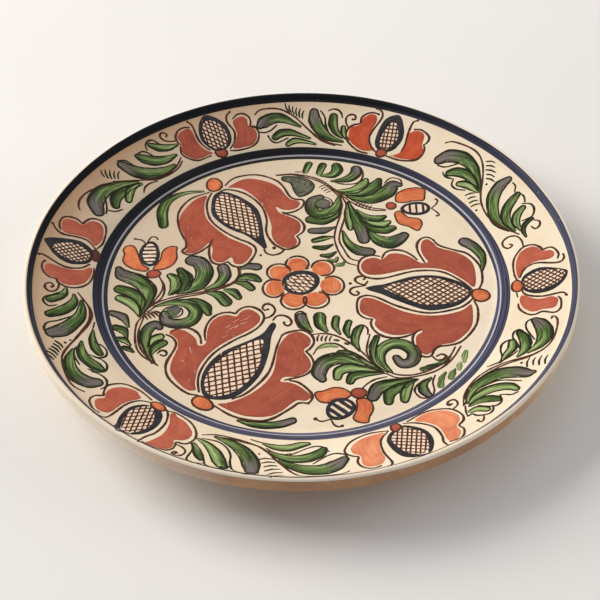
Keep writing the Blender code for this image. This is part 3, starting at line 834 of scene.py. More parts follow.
def make_big_tulips():
    tulip("tulip_upper_left", "petal_red", RED, (-46.5, 77.1, 4.2, 5.2),
          "-43.9,71.3 -39.4,71 -29.7,65 -22.3,56 -18.7,33.7 -17.5,26.1 -18.9,25.4 -21.3,28.2 -29,36.2 "
          "-34.5,39.3 -39.4,42.8 -46.3,51.1 -47.7,56 -47,67.1 -45.3,70.3",
          "-42.9,68.9 -38.7,68.2 -29.7,61.2 -24.1,51.1 -22.7,34.4 -26.9,37.2 -40.8,47.7 -45,56.7 -44.3,66.4",
          [(98, 2.7), (-18, 2.3)],
          ["-39.4,74.4 -32.4,80.7 -26.9,82.1 -15.7,78.3 -10.9,74.1 -5.3,65 -0.4,62.6 0.3,60.2 -1.5,57 "
           "-6,55.3 -10.2,56.3 -12.6,58.1 -10.9,53.9 -5.3,50.4 -0.4,46.3 0.6,42.1 -0.4,37.9 -2.9,34.8 "
           "-1.5,31.7 -2.5,27.5 -7.4,25.7 -11.6,28.2 -14.3,32.3 -15.4,37.9 -15.4,43.5 -21.3,61.6 -31,73 "
           "-35.9,74.4",
           "-50.5,68.5 -56.1,65.7 -63,55.3 -64.4,49.7 -63.7,42.8 -61,35.8 -59.6,26.1 -61.3,24 -56.1,22.6 "
           "-51.2,26.1 -47.7,30.3 -46,25.4 -46.3,19.8 -44.3,16.3 -40.1,15.7 -35.9,19.1 -34.5,15 -31.7,13.9 "
           "-28.3,15.7 -25.1,25.4 -38.7,35.8 -49.8,50.4 -50.9,63 -49.8,67.1"],
          ["-40.4,76.5 -38,80.3 -33.8,83.5 -22.7,84.9 -12.3,79.7 -8.8,74.8 -4.6,65.7 -1.1,64 1,64 2.3,62.3 "
           "1.3,58.1 -2.5,54.6 -6.7,53.2 -9.5,53.9",
           "-8.8,52.9 -3.2,50.4 0.3,47 2.2,42.8 1.7,38.6 -1.8,34.8",
           "-1.8,34.8 -0.4,31.7 -1.1,28.2 -4.6,25.4 -8.8,25 -12.3,27.5",
           "-43,71.5 -40.1,73 -30.3,69.9 -21.3,60.2 -17.8,49 -17.8,37.9 -13.7,28.9 -8.8,24.7 -10.2,22.3 "
           "-14.3,20.7 -17.8,22.3 -18.9,25",
           "-49.1,71 -58.9,65.7 -64.8,55.3 -64.1,42.8 -59.9,31 -59.9,27.5 -61.7,24.7 -59.6,22.3 -56.1,21.9 "
           "-48.4,27.8 -46,33",
           "-46.7,30.3 -47.7,25.4 -45.7,16 -41.5,14.3 -37.7,16.3",
           "-37.7,16.3 -35.2,13.2 -31.7,12.2 -28.3,13.6 -23.4,22.6 -23.7,26.8 -26.9,30.3 -31.7,33 -40.8,40 "
           "-47.7,49 -50,60.2 -49.1,66.4 -47.7,70.3"], dots=((-13.7, 26.1, 1.3), (-20.7, 20.7, 0.9)))
    tulip("tulip_right", "petal_red", RED, (90.4, -11.2, 4.4, 4.4),
          "32.5,-4.6 36.7,-2.9 41.7,-2.1 57.6,3.4 70.1,3.4 81.8,-2.1 86.4,-8.7 80.1,-17.1 67.6,-21.3 "
          "61.7,-20.9 45.9,-12.9 40.9,-9.6 33.8,-6.2",
          "42.1,-4.6 52.6,-0.8 64.2,1.7 70.1,0.9 84.3,-8.7 77.6,-15 65.1,-17.1 60.1,-16.3 45,-7.1",
          [(-40, 2.5), (35, 2.5)],
          ["88.4,-4.6 88.4,13 81.8,20.1 71.8,24.6 69.3,28.4 66.7,30.9 64.2,30.1 62.6,26.3 62.6,21.3 "
           "64.2,16.3 65.5,13.8 62.6,13 55.9,18.4 50.9,20.5 45.9,20.1 43,17.1 41.3,16.3 38.4,17.6 33.4,16.3 "
           "30.9,12.1 31.3,8 34.2,5 40,4.6 60.1,8.8 73.4,7.1 84.3,-2.1 86.8,-5.4",
           "85.1,-17.1 83.9,-33 74.3,-43.4 69.3,-44.6 65.5,-46.3 63,-49.6 60.1,-51.3 56.7,-48.8 55.9,-38.8 "
           "59.2,-35.5 49.2,-38 43.4,-37.5 38.4,-34.6 35.9,-30.4 36.3,-26.7 32.5,-24.6 29.2,-21.3 30.4,-12.1 "
           "35,-11.7 52.6,-22.1 66.7,-24.6 80.1,-21.3 83.4,-18.3"],
          ["90.1,-6.7 92.2,-1.2 91.8,10.4 85.9,19.6 80.9,21.7 71.8,26.3 69.7,29.7",
           "69.3,30.5 66.7,32.2 63.4,31.3 60.9,27.1 60.9,22.1 63.8,13.4",
           "60.1,15.5 57.6,18.8 53.4,22.1 48.4,23 44.2,21.3 42.1,17.1",
           "40.9,18.4 36.7,19.2 31.7,17.1 29.6,12.1 30,7.1 32.5,3.8 36.7,2.1 41.7,2.1 59.2,7.1 72.6,5.9 "
           "83.4,-2.9 86.8,-7.5",
           "86.8,-15.4 88,-19.6 86.4,-31.3 77.6,-43 71.8,-45.1 66.7,-45.9 64.2,-48 62.6,-51.7 60.1,-52.6 "
           "56.7,-50.9 54.2,-40.5 55.9,-36.3 58.4,-34.6",
           "55.9,-36.3 50.9,-38.8 45,-39.6 40,-38.4 35.9,-34.6 34.2,-29.6 35,-26.7",
           "35,-26.7 31.7,-25.9 28.3,-22.1 28.8,-12.1 32.5,-10 37.5,-11.2 47.5,-17.5 60.1,-22.5 66.7,-22.9 "
           "79.3,-19.6 83.4,-16.7 85.9,-13.8",
           "33.8,0 32.5,-2.1 29.2,-1.2 27.5,1.3 28.8,3.4 31.7,3.8 32.9,2.5 32.1,1.7",
           "32.5,-2.9 25.8,-4.6 24.6,-7.1 26.3,-9.4 28.3,-9.6 29.2,-7.9 28.3,-7.1",
           "63,-52.2 65.1,-54.7 68.4,-54.2 69.7,-52.2 67.6,-50.9 65.1,-52.2"],
          dots=((32.1, 1.7, 0.9), (28.3, -7.1, 0.9), (25, -1.2, 1.1), (69.7, 29.9, 0.9)))
    tulip("tulip_lower_left", "petal_red", RED, (-47.5, -79.9, 5.4, 3.6, -30),
          "-13.9,-27.7 -12.5,-29.5 -14.7,-36.8 -16.1,-48.5 -20.1,-62.4 -28.2,-73.4 -33.3,-77 -38.4,-78.1 "
          "-46.4,-76.3 -49,-67.5 -46.8,-57.3 -39.9,-47.8 -19.8,-35.4 -15.4,-28.4",
          "-19.4,-39.8 -19.8,-44.9 -21.6,-57.3 -26.7,-66.8 -35.5,-74.1 -43.9,-74.8 -46.8,-66.8 -43.5,-57.3 "
          "-39.9,-52.9 -36.9,-49.3 -22.3,-40.1", [(95, 3.3), (15, 2.8)],
          ["-50.8,-71.5 -54.5,-71.9 -61.8,-63.9 -64,-58.7 -63.6,-52.9 -61,-43.4 -61.4,-39 -64,-35.7 "
           "-65.8,-34.3 -63.2,-31.7 -58.1,-32.1 -51.9,-38.3 -50.8,-42.3 -47.9,-41.9 -46.8,-32.5 -45,-26.6 "
           "-41.3,-23 -36.9,-21.9 -32.6,-23 -30.4,-19.7 -26.7,-18.2 -23.1,-20 -20.5,-23.7 -20.9,-27.3 "
           "-24.5,-31.7 -41.3,-44.1 -49.4,-55.8 -51.2,-67.5",
           "-40.6,-80.3 -35.5,-79.6 -23.8,-73.4 -15,-62.4 -11.4,-43.4 -6.3,-35.7 -1.9,-34.3 1.8,-36.1 "
           "4.3,-39.8 4,-43.4 1,-47.1 3.6,-52.9 4.3,-57.3 1.8,-61.7 -3.3,-64.2 -9.2,-64.6 -10.6,-66.8 "
           "-6.3,-67.5 -1.9,-69.7 4,-77 1,-79.6 -2.6,-79.2 -10.6,-86.1 -15.8,-88.7 -27.4,-88.3 -37.7,-82.9"],
          ["-50.1,-74.8 -54.5,-73.7 -63.2,-65.3 -65.8,-59.5 -65.8,-53.6 -62.1,-44.1 -61.8,-40.5 -64,-36.8 "
           "-66.9,-35",
           "-64.7,-32.8 -61,-31 -56.7,-30.6 -52.3,-33.2 -50.1,-36.8 -49.4,-41.2",
           "-47.5,-39 -47.9,-33.9 -46.8,-28.1 -43.9,-23.3 -39.9,-20.8 -35.5,-20.4 -32.9,-21.1 -31.8,-19.3 "
           "-28.9,-17 -25.2,-16.7 -21.6,-18.6 -19,-22.2 -19,-26.2 -21.6,-31 -26.7,-35.4 -32.6,-39 "
           "-43.5,-48.5 -49.4,-60.2 -50.1,-66.8 -49.4,-72.6",
           "-11,-39.8 -9.2,-36.1 -1.1,-33.5 2.5,-34.6 5.1,-37.6 5.8,-41.9 4,-45.6 1.8,-47.8",
           "1.8,-47.8 4,-50.7 5.4,-55.1 4.7,-59.5 1,-63.1 -8.5,-66.1",
           "-6.3,-66.4 -1.9,-67.9 4.3,-75.5 4,-78.8 2.5,-81",
           "2.5,-81 -1.9,-80.7 -5.5,-83.6 -15,-90.2 -20.9,-91.3 -32.6,-88.3 -42.1,-81.4",
           "-11,-39.8 -12.5,-44.9 -15,-57.3 -17.9,-63.9 -27.4,-74.5 -33.3,-77.4",
           "-17.9,-24.8 -15,-23.3 -13.2,-19.3 -15,-15.7 -17.9,-14.9 -19.6,-17.5 -18.3,-19.3 -16.9,-18.7",
           "-14.3,-26.2 -12.1,-23.3 -8.5,-23.3 -5.5,-25.9 -5.2,-28.8 -7,-30.3 -8.8,-28.8 -8.8,-27.9"],
          dots=((-16.9, -18.7, 0.9), (-8.8, -27.9, 0.9), (2.4, -80.9, 1.0)),
          scratches=["-25.4,-23 -27.6,-25.2 -30.4,-26.4", "-27,-27.4 -30.4,-28.6 -33,-31",
                     "-31,-25 -34,-27.4", "-31.6,-29.6 -35,-31.6 -37.4,-34.4", "-35.4,-29.4 -37.6,-31.2",
                     "-36.4,-36 -38.8,-37.6", "-55,-44 -54,-47.6", "-58.4,-52 -56.6,-55"])


def make_rosette():
    centre = (-0.2, 0.2)
    petals = [(-1.8, 13.8, 5.4, 5.2), (11.3, 10.4, 5.4, 5.2), (15.8, -2.5, 5.6, 6.2), (7.5, -12.5, 6, 5.4),
              (-3.8, -12.9, 6, 5.6), (-13.8, -3.8, 5.2, 6), (-11.3, 7.9, 5.6, 5.6)]
    body = Paint("rosette_petals", "rosette", "petal_orange", ORANGE)
    ink = Paint("rosette_lines", "rosette", "petal_orange", BROWN)
    for x, y, across, tall in petals:
        toward = math.atan2(y - centre[1], x - centre[0])
        body.fill(ellipse(x - 0.7 * math.cos(toward), y - 0.7 * math.sin(toward), across - 0.15, tall - 0.15),
                  focus=centre, high=0.08)
        sweep = toward + np.radians(np.linspace(-140, 132, 11))
        ink.stroke(np.stack([x + (across + 0.5) * np.cos(sweep), y + (tall + 0.5) * np.sin(sweep)], 1),
                   [0.5] + [0.74] * 9 + [0.6], high=0.16)
    ink.blob(3.3, 10.4, 1.0)
    body.finish()
    ink.finish()
    ring = Paint("rosette_net", "rosette", "band_blue", BLUSH, CHARCOAL, BROWN)
    hole = ellipse(-0.3, -0.3, 7.1, 6.1)
    ring.fill(ellipse(*centre, 9.6, 9.0), high=0.09, look=0)
    hatch(ring, 2, hole, [(-52, 2.3), (-8, 2.5)], 0.6, 0.17)
    ring.fill(ellipse(*centre, 9.9, 9.1), hole, high=0.2, look=1)
    ring.finish()


# ---------------------------------------------------------------- leaves and sprays

# slate at base and tip, lightness at base and tip
LEAF_LOOKS = {"green": (-0.6, 0.2, 0.62, 0.42), "slate": (-1.0, 1.05, 0.6, 0.4), "light": (-1, 0, 0.85, 0.75),
              "dark": (-0.4, 0.4, 0.4, 0.15), "grey": (0.5, 1.1, 0.5, 0.4)}


def numbers(text):
    return [float(v) for v in text.split()]


def leaf(green, ink, path, widths, look="green", edge=0.56):
    """One loaded brush stroke, with its dark outline run round the tip."""
    points, wide = pts(path), numbers(widths)
    slate0, slate1, light0, light1 = LEAF_LOOKS[look]
    way = points[-1] - points[0]
    middle = points[len(points) // 2] - points[0]
    bend = math.copysign(1, way[0] * middle[1] - way[1] * middle[0])
    green.leaves += 1
    green.stroke(points, wide, high=0.06 + 0.004 * (green.leaves % 12), slate=(slate0, slate1),
                 light=(light0, light1), shade=-0.3 * bend)
    places, marks = smooth(points, 1.6)
    reach = np.interp(marks, np.arange(len(wide)), wide) - 0.05
    forward, left = directions(places)
    near, far = places + left * (reach * bend)[:, None], places - left * (reach * bend)[:, None]
    turn = np.radians([58, 20, -20, -58])[:, None]
    tip = places[-1] + reach[-1] * (np.cos(turn) * forward[-1] + np.sin(turn) * left[-1] * bend)
    body = np.vstack([near, tip, far[::-1]])
    heavy = np.interp(np.arange(len(body)), [0, len(near) * 0.5, len(near) + 2, len(body) - 1],
                      [edge * 0.8, edge * 1.35, edge * 1.1, edge * 0.6])
    ink.stroke(body, heavy, high=0.18, look=1, step=1.2)


def double_line(ink, path):
    """A stem drawn as two thin lines that draw together at its far end."""
    places = smooth(pts(path), 2.5)[0]
    left = directions(places)[1]
    apart = np.linspace(0.9, 0.315, len(places))[:, None]
    for side in (apart, -apart):
        ink.stroke(places + left * side, FINE)


def ticks(ink, first, last, count, length, angle, width, look):
    """A row of short dashes from first to last, turning from one angle to the other."""
    for k in range(count):
        part = k / (count - 1)
        middle = np.array(first) + (np.array(last) - first) * part
        a = math.radians(angle[0] + (angle[1] - angle[0]) * part)
        reach = 0.5 * length * rng.uniform(0.85, 1.1) * np.array([math.cos(a), math.sin(a)])
        bow = 0.1 * length * np.array([-math.sin(a), math.cos(a)])
        dash = [middle - reach, middle + bow, middle + reach]
        ink.stroke(dash, [width, width * 1.2, width * 0.7], look=look)


def spray(name, leaves, stems=(), loops=(), doubles=(), dashes=(), dabs=(), patches=(), marks=(), dots=()):
    """A leafy spray: brushed leaves, their outlines, stems and dashes.

    A leaf is its path, the half-widths along it and its look, and a dab is a leaf without an outline. Stems
    are brown lines, loops are dark green ones, and doubles are stems drawn as two lines. Dashes are rows
    for ticks(). A patch is an outline with its slate and lightness, and a mark is a path with half-widths."""
    green = Paint(name + "_leaves", name, "leaf_green", GREEN)
    ink = Paint(name + "_lines", name, "leaf_green", BROWN, DARK_GREEN)
    for path, slate, light in patches:
        green.fill(pts(path), slate=slate, light=light, high=0.07)
        ink.stroke(pts(path), 0.5, look=1, closed=True)
    for entry in leaves:
        leaf(green, ink, *entry)
    for path, wide, look in dabs:
        slate0, slate1, light0, light1 = LEAF_LOOKS[look]
        green.stroke(pts(path), numbers(wide), high=0.12, slate=(slate0, slate1), light=(light0, light1))
    draw_lines(ink, 0, stems, FINE)
    draw_lines(ink, 1, loops, FINE)
    for x, y, r in dots:
        ink.blob(x, y, r, look=1)
    for path in doubles:
        double_line(ink, path)
    for row in dashes:
        ticks(ink, *row)
    for path, wide in marks:
        ink.stroke(pts(path), numbers(wide), look=1)
    green.finish()
    ink.finish()


def make_well_sprays():
    spray("spray_left",
          [("-81,-22.5 -78,-12 -77.5,-4 -83,3 -91.7,8 -94,12.5", "0.4 2.6 4 4.2 3.6 1.4", "slate"),
           ("-80.6,-20 -81,-11 -86,-5.5 -92.5,-2.6", "0.4 2.4 3 2.6", "green"),
           ("-81,-22.5 -83,-16.5 -87.5,-11.5 -92,-9", "0.4 2.2 2.6 2", "light"),
           ("-67,-7.5 -64,-2 -64.5,4 -67,6.5", "0.5 2.8 2.8 1.6", "light"),
           ("-66,-7 -59.5,-1 -59,5 -62,10.5", "0.5 3.2 3.4 1.8", "dark"),
           ("-63,-6.5 -53,-1 -49.5,8.3 -52.5,16 -56,17.5", "0.6 3.6 4.4 4 3.6", "slate"),
           ("-49,-4 -42,0 -39,6 -40,11.5", "0.5 2.2 3 3", "slate"),
           ("-31,10.5 -27,12.5 -22.5,12", "0.5 2 2.4", "grey"),
           ("-33,2.5 -28.5,5 -24,4 -21.3,2", "0.4 2.3 2.4 1.2", "green"),
           ("-34,0.7 -28.5,-0.3 -25.3,-3.6", "0.4 2.2 1.8", "green"),
           ("-39.2,-4.2 -34.5,-6 -31.6,-10", "0.5 2.3 1.5", "green"),
           ("-48.3,-6 -42,-8 -38,-13", "0.5 2.6 3", "green"),
           ("-62,-12 -53,-12.5 -48,-17 -46.5,-21", "0.4 2.2 2.8 1.4", "green"),
           ("-74,-15.5 -65,-13 -56.7,-14.2 -53,-19.6 -55,-25.6 -61.7,-27.6 -67.5,-25.5 -68.5,-21",
            "0.4 1.6 3 3.2 3.2 3 2.8 2.2", "slate"),
           ("-72.6,-54 -77.3,-36 -75.2,-29.8 -72.4,-28 -70.4,-30", "0.4 2.8 2.8 2.4 1.6", "slate"),
           ("-75.2,-43.4 -73,-38 -69.8,-36.4", "0.5 2 2", "light"),
           ("-73.8,-48.5 -71.6,-43.6 -68,-40.6", "0.5 2 2", "green"),
           ("-85.8,-29.5 -89.2,-22.5 -95,-19.5", "0.4 2.2 1.6", "grey"),
           ("-86,-37 -88.3,-31.7 -92.5,-29.4", "0.4 2 1.6", "green"),
           ("-84,-42 -87.5,-38.3 -90.8,-37.3", "0.4 1.7 1", "green"),
           ("-82.2,-46.6 -85,-44.2 -87.5,-43.2", "0.4 1.4 0.9", "dark")],
          stems=["-78.3,-20.8 -81.8,-26.7 -81.5,-41.7 -78.3,-48.3 -70,-55.4",
                 "-78.3,-20.8 -80.8,-33.3 -80,-41 -76.5,-48.3 -70,-55.4",
                 "-78.5,-19.5 -75,-14 -71.5,-11 -69.5,-6 -69.8,0 -72.5,5.5"],
          doubles=["-77.5,-18.5 -72,-13.3 -62,-9 -50,-6.2 -34.2,1 -31.5,6.7 -32.3,12.1"],
          dashes=[((-78.4, -22.4), (-71.6, -20), 5, 4.6, (-50, -38), 0.62, 0)],
          dabs=[("-64.8,-19.6 -63.2,-18.4", "3.9 3.6", "grey")],
          marks=[("-70.5,-47.5 -68.8,-45.6 -66.6,-46.2 -66,-48.2 -67.6,-49.3 -69,-48.4",
                  "0.5 0.8 0.8 0.7 0.7 0.6"),
                 ("-75,-42 -74,-48 -71.4,-53.4", "0.5 1 0.5"),
                 ("-68.5,-24 -70,-20 -67.5,-16.4 -63,-15.7 -59.8,-17.6 -59.6,-20.6 -62,-23 -64.6,-23.2",
                  "0.4 0.5 0.5 0.5 0.5 0.5 0.5 0.4")])
    spray("spray_upper",
          [("3.2,86.6 5.6,93.6", "1.4 1.7", "green"), ("10.8,85 13.2,92.4", "1.6 1.9", "green"),
           ("11.5,83.6 18,84 21,88 20.5,91.5", "0.6 2.4 3 2.4", "green"),
           ("17.5,78.6 27,80.6 31,85 31.4,88.6", "0.5 2.6 3 2.6", "slate"),
           ("20,70.5 30,71 35,76 36.5,79.3", "0.5 2.8 2.8 1.2", "light"),
           ("22,68.5 34,68.5 41,74 43.6,79", "0.6 3.4 3.6 1.4", "green"),
           ("26,65.5 38,63.5 47,68.5 51.5,75 54.5,74.5", "0.8 3.8 4.4 3.2 1.4", "slate"),
           ("25.8,61 25.5,52 26.2,44 26.6,40", "0.4 1.6 1.8 1.2", "light"),
           ("26,61.5 29,50 32,40 33.3,31.5", "0.4 2.4 3.4 3", "slate"),
           ("30,55 36,48.5 42,47.5 45,49", "0.4 2.2 2.4 1", "green"),
           ("31,50 38,44 44,43 47,44.6", "0.4 2.4 2.6 1.2", "light"),
           ("33,46 39,39.8 45,38.4 49,40", "0.4 2.4 2.6 1.8", "green"),
           ("36,38 41,31 47,28.8 52,31.6 54.6,34", "0.8 3.4 4.4 3.4 2.4", "slate"),
           ("22.5,38.5 25,29 30.5,23 36,22", "0.4 2 3.2 2.8", "slate"),
           ("21,55 18,50.5 12,47.3 5.5,47.6", "0.5 2.6 3.6 2.6", "green"),
           ("18.6,41.5 12.5,39 6,38.8", "0.4 2.2 1.9", "grey"),
           ("17.8,34 12,32.6 7.4,31.2", "0.4 1.7 1.5", "green"),
           ("17,28 12,25.6 7.4,26.2", "0.4 1.6 0.9", "dark"),
           ("18.5,22.4 14.6,19.6 11,19.8", "0.4 1.5 0.7", "dark"),
           ("21.5,66.5 19.5,57.5 15,53 9.5,51.8 6,56.5 6.8,63 11,65.4", "0.6 2.8 3.6 3.4 3 2.4 2", "slate")],
          stems=["-12.5,84.6 -3.3,85.2 11.7,79.6 24.4,61.7 24.6,53.3 20.4,31.7 22.4,24.6 26,17 30,15.2",
                 "-12.5,84.2 -3.3,84.4 11.7,78 21,66 22.6,60 22,53.3 18,31.7 23.6,14.6 28.4,12",
                 "-2,87 3.2,86.8", "18.3,72.8 25,66.5 30,61.3 37.5,56.6 45.8,54.6",
                 "18.6,72 30,59 37.5,54.8 45.8,53.6", "17,79 24,76 32,77 35,83 33.6,89.6 30.5,91",
                 "46.5,76.5 50,80.4 55,79 56,74"],
          dashes=[((12.4, 74.6), (16.6, 70), 4, 4.4, (28, 24), 0.4, 0),
                  ((31, 59.7), (37.8, 56.4), 5, 3.2, (58, 64), 0.42, 1)],
          dabs=[("11.4,60.8 12.6,60.4", "4.4 4.2", "grey"), ("14.4,16.8 18,15.4 19,18", "1 1.6 0.8", "green"),
                ("19,12.4 21.5,13 22.6,15", "1.4 1.7 0.7", "green")],
          marks=[("13,66.2 17,63 17.2,58.6 13.6,56.2 9.8,56.8", "0.4 0.5 0.5 0.5 0.4")],
          patches=[("-9.2,82.9 4,80.9 8,75.4 6,69.6 0,66.3 -2.5,70 -5,77.6 -9.2,80", 0.62, 0.35)])
    spray("spray_lower",
          [("5,-34.6 1.4,-29.6 -0.2,-24.4", "0.6 2.4 2.6", "slate"),
           ("12.4,-34.6 9.4,-30 9,-24.4", "0.8 2.7 2.9", "green"),
           ("19,-36.7 16.6,-31 17.2,-25.4", "0.4 1.6 1.6", "green"),
           ("23.2,-39.2 22,-34 23.4,-28.4", "0.4 1.6 1.4", "green"),
           ("28,-48 26,-41.4 27.4,-34.5 29,-32", "0.4 1.8 2 1.4", "green"),
           ("41,-62 35.6,-55 34.6,-46 36.6,-39", "0.4 1.5 1.7 1.3", "green"),
           ("35,-58.6 28,-53.6 22,-49.4 18,-48.6", "0.4 1.8 1.8 1", "light"),
           ("38,-61.5 29,-56 18,-52.6 10.5,-55.5 8,-62.5 9.4,-66", "0.4 2.6 3.6 4 3.4 1.8", "slate"),
           ("39,-62.2 30,-60 22,-59 17.6,-61 16.6,-65", "0.4 2.2 2.8 2.6 1.8", "light"),
           ("39,-62.6 29,-63 24,-64.6 22.6,-67.6", "0.4 2 2.4 1.8", "green"),
           ("43,-62.5 38,-55 38.6,-47.6 43.5,-43.6 50,-44.4 54.4,-49.6 52.6,-55.6 48,-56.6 45.6,-53",
            "0.4 2 2.8 3 3.2 3.2 3 2.6 1.8", "slate"),
           ("55,-67 44,-69 36,-72 33,-77.4", "0.4 2.4 3.4 2.8", "slate"),
           ("54,-67.6 46,-71.6 41,-76 40.4,-80.6", "0.4 2.2 2.6 2", "green"),
           ("53,-68 50,-72 48.6,-76 48,-79.6", "0.5 2.2 2.5 1.8", "light"),
           ("61.6,-66 57.6,-70 57.4,-74 59.6,-77", "0.4 1.8 2.4 1.5", "slate")],
          stems=["5,-36.4 11.7,-36 18.6,-38.6 29.3,-49 35,-58.3",
                 "40,-62.9 46,-65.9 61.7,-62.8 68.3,-58.6 73.3,-53 77.3,-46",
                 "38.6,-60.6 46,-63.8 54,-63.8 67.4,-57.2 72,-51.6 74.6,-46.4",
                 "5.4,-49.6 7.6,-45.6 11.6,-43 16.7,-43 33,-59.4 39.4,-63",
                 "33.4,-37 32,-43 31.4,-49 34.4,-57", "32.4,-37 32.4,-33 30,-30.4 27,-31.4",
                 "-3.3,-26.7 -3,-22 -0.4,-20.4 2.4,-22.4", "-3.3,-26.7 -1,-32 3,-34.6",
                 "61.6,-67 55.4,-69.6 53,-74 55.6,-78.4 59.6,-79", "40,-65 34.6,-66.6 31,-69 28,-72.4",
                 "63.4,-64.6 62,-69 62.4,-73.6 61.4,-78"],
          dashes=[((7.9, -38.8), (14, -39.4), 4, 3.6, (78, 70), 0.55, 0)],
          dabs=[("16,-40.4 17.6,-40.7", "0.9 0.8", "dark"), ("21.2,-42.8 22.4,-43.3", "0.8 0.8", "dark"),
                ("7.4,-45.8 11.6,-43.8 17,-45", "1 1.8 0.8", "light"),
                ("57.5,-60.4 61.7,-58.8 66.4,-57.4", "1.6 1.6 1.2", "dark"),
                ("63.4,-57.6 68,-56 71.6,-52.6", "0.7 1.6 0.8", "dark"),
                ("65.6,-71 66.4,-66.6 68.6,-62.8", "2 1.8 0.6", "green"),
                ("71,-66 72,-63.4 73.4,-60.8", "1.7 1.8 0.7", "green"),
                ("75.4,-60.6 75.6,-58.6 76.4,-56.6", "1.4 1.6 0.7", "light"),
                ("78.2,-56 78.6,-52.6 79.6,-49.4", "1 1.6 1.4", "light")])


def lone_leaf(name, path, widths, look):
    green = Paint(name + "_leaf", name, "leaf_green", GREEN)
    ink = Paint(name + "_lines", name, "leaf_green", BROWN, DARK_GREEN)
    leaf(green, ink, path, widths, look)
    green.finish()
    ink.finish()


def make_lone_leaves():
    lone_leaf("leaf_left",
              "-52.1,71.7 -60,71 -66.7,68.3 -71.7,63 -73.6,56 -72.5,45", "0.5 1 1.6 2.4 2.8 2.4", "green")
    lone_leaf("leaf_right", "92.6,6 94,13 93,19 90,24.4 86,28", "0.4 1.4 2.4 3 3.2", "slate")
    lone_leaf("leaf_bottom",
              "-30.8,-90.6 -24.2,-93.2 -16.7,-94 -10,-93.2 -5,-91.4", "0.4 1.5 1.9 1.9 1.7", "slate")


# ---------------------------------------------------------------- buds


def bud(name, ball, body, bars, petals, lines, dots=()):
    """A small bud: two petals, a barred pod, feelers and the red ball at its stem.

    ball and body are ellipses, and bars holds the bars' angle, spacing and half-width."""
    paint = Paint(name + "_petals", name, "petal_orange", ORANGE, RED)
    ink = Paint(name + "_lines", name, "petal_orange", BROWN)
    for text in petals:
        paint.fill(pts(text), focus=body[:2])
        ink.stroke(pts(text), 0.55, closed=True)
    paint.fill(ellipse(*ball), look=1, high=0.12)
    ink.stroke(ellipse(*ball), 0.55, closed=True, high=0.18)
    draw_lines(ink, 0, lines, FINE)
    for x, y, r in dots:
        ink.blob(x, y, r)
    paint.finish()
    ink.finish()
    x, y, across, tall, tilt = body
    pod = Paint(name + "_pod", name, "band_blue", BLUSH, CHARCOAL)
    pod.fill(ellipse(*body), high=0.1, look=0)
    hole = ellipse(x, y, across - 2.4, tall - 2.4, tilt)
    pod.fill(ellipse(*body), hole, high=0.2, look=1)
    angle, spacing, width = bars
    hatch(pod, 1, hole, [(angle, spacing)], width, 0.18)
    pod.finish()


def make_buds():
    bud("bud_left", (-75.6, 7.9, 3.6, 2.8), (-78.5, 23.0, 5.6, 9.6, 0), (0, 2.75, 0.95),
        ["-91.4,28.6 -89.4,29.6 -87,28.6 -81.7,15 -78.3,11.7 -80,10.2 -85,11.3 -90,14.6 -92.1,18.3 "
         "-91.6,23.3 -92.4,26.4",
         "-64.6,27.9 -67.4,28.4 -70.6,26.6 -72.1,23.6 -72.5,19.2 -75.8,11.3 -70,11.7 -65.8,15 -64.2,20 "
         "-64.6,24.2"],
        ["-81.5,31.5 -83,33.4 -86.9,34.6", "-80,32.4 -78.3,35.8 -75.8,35.6 -75,34.2",
         "-72.5,5.8 -70.4,0 -71,-5 -78.3,-19.2"], dots=((-86.9, 34.6, 0.9), (-75, 34.2, 0.8)))
    bud("bud_upper_right", (49, 57.5, 2.7, 2.7), (62.1, 55, 8.4, 5.4, 0), (90, 3.5, 0.95),
        ["52.1,60.8 52.5,66.7 57.5,70.8 65,71.7 67.9,70 67.5,65 66.7,61.7 61.7,61.3 55.8,60",
         "50.8,51.7 53.3,53.3 57.5,48.3 63.3,46.7 64.6,43.3 62.1,37.6 57.5,40.8 52.5,43.3 50.8,48.3"],
        ["70.4,55 73.3,58.3 74.2,61.7 73.3,62.5", "70.4,55 73.3,51.7 74.2,49.2 72.9,48.8"],
        dots=((73.3, 62.3, 0.9), (72.9, 48.9, 0.9)))
    bud("bud_bottom", (26.5, -75, 3.5, 3.2), (17.5, -84.6, 8, 6.3, 34), (-42, 3.6, 1.3),
        ["5.8,-74.6 10,-73.3 15,-71.3 20,-72.5 22.9,-75.8 20,-78.3 15,-78.8 11.7,-80.8 7.5,-79.6",
         "25.4,-79.2 29.2,-78.3 32.1,-80.8 32.9,-85 30.8,-90 30,-93.3 25,-92.5 23.3,-90.4 25,-85.8 "
         "25.4,-81.7"],
        ["13.4,-90.6 8.3,-92.1 5.4,-90.4", "12.9,-90.6 14.2,-94.2 16.7,-95.6 18.3,-95"],
        dots=((5.6, -90.6, 1.2), (18, -95, 1.0)))


# ---------------------------------------------------------------- the rim


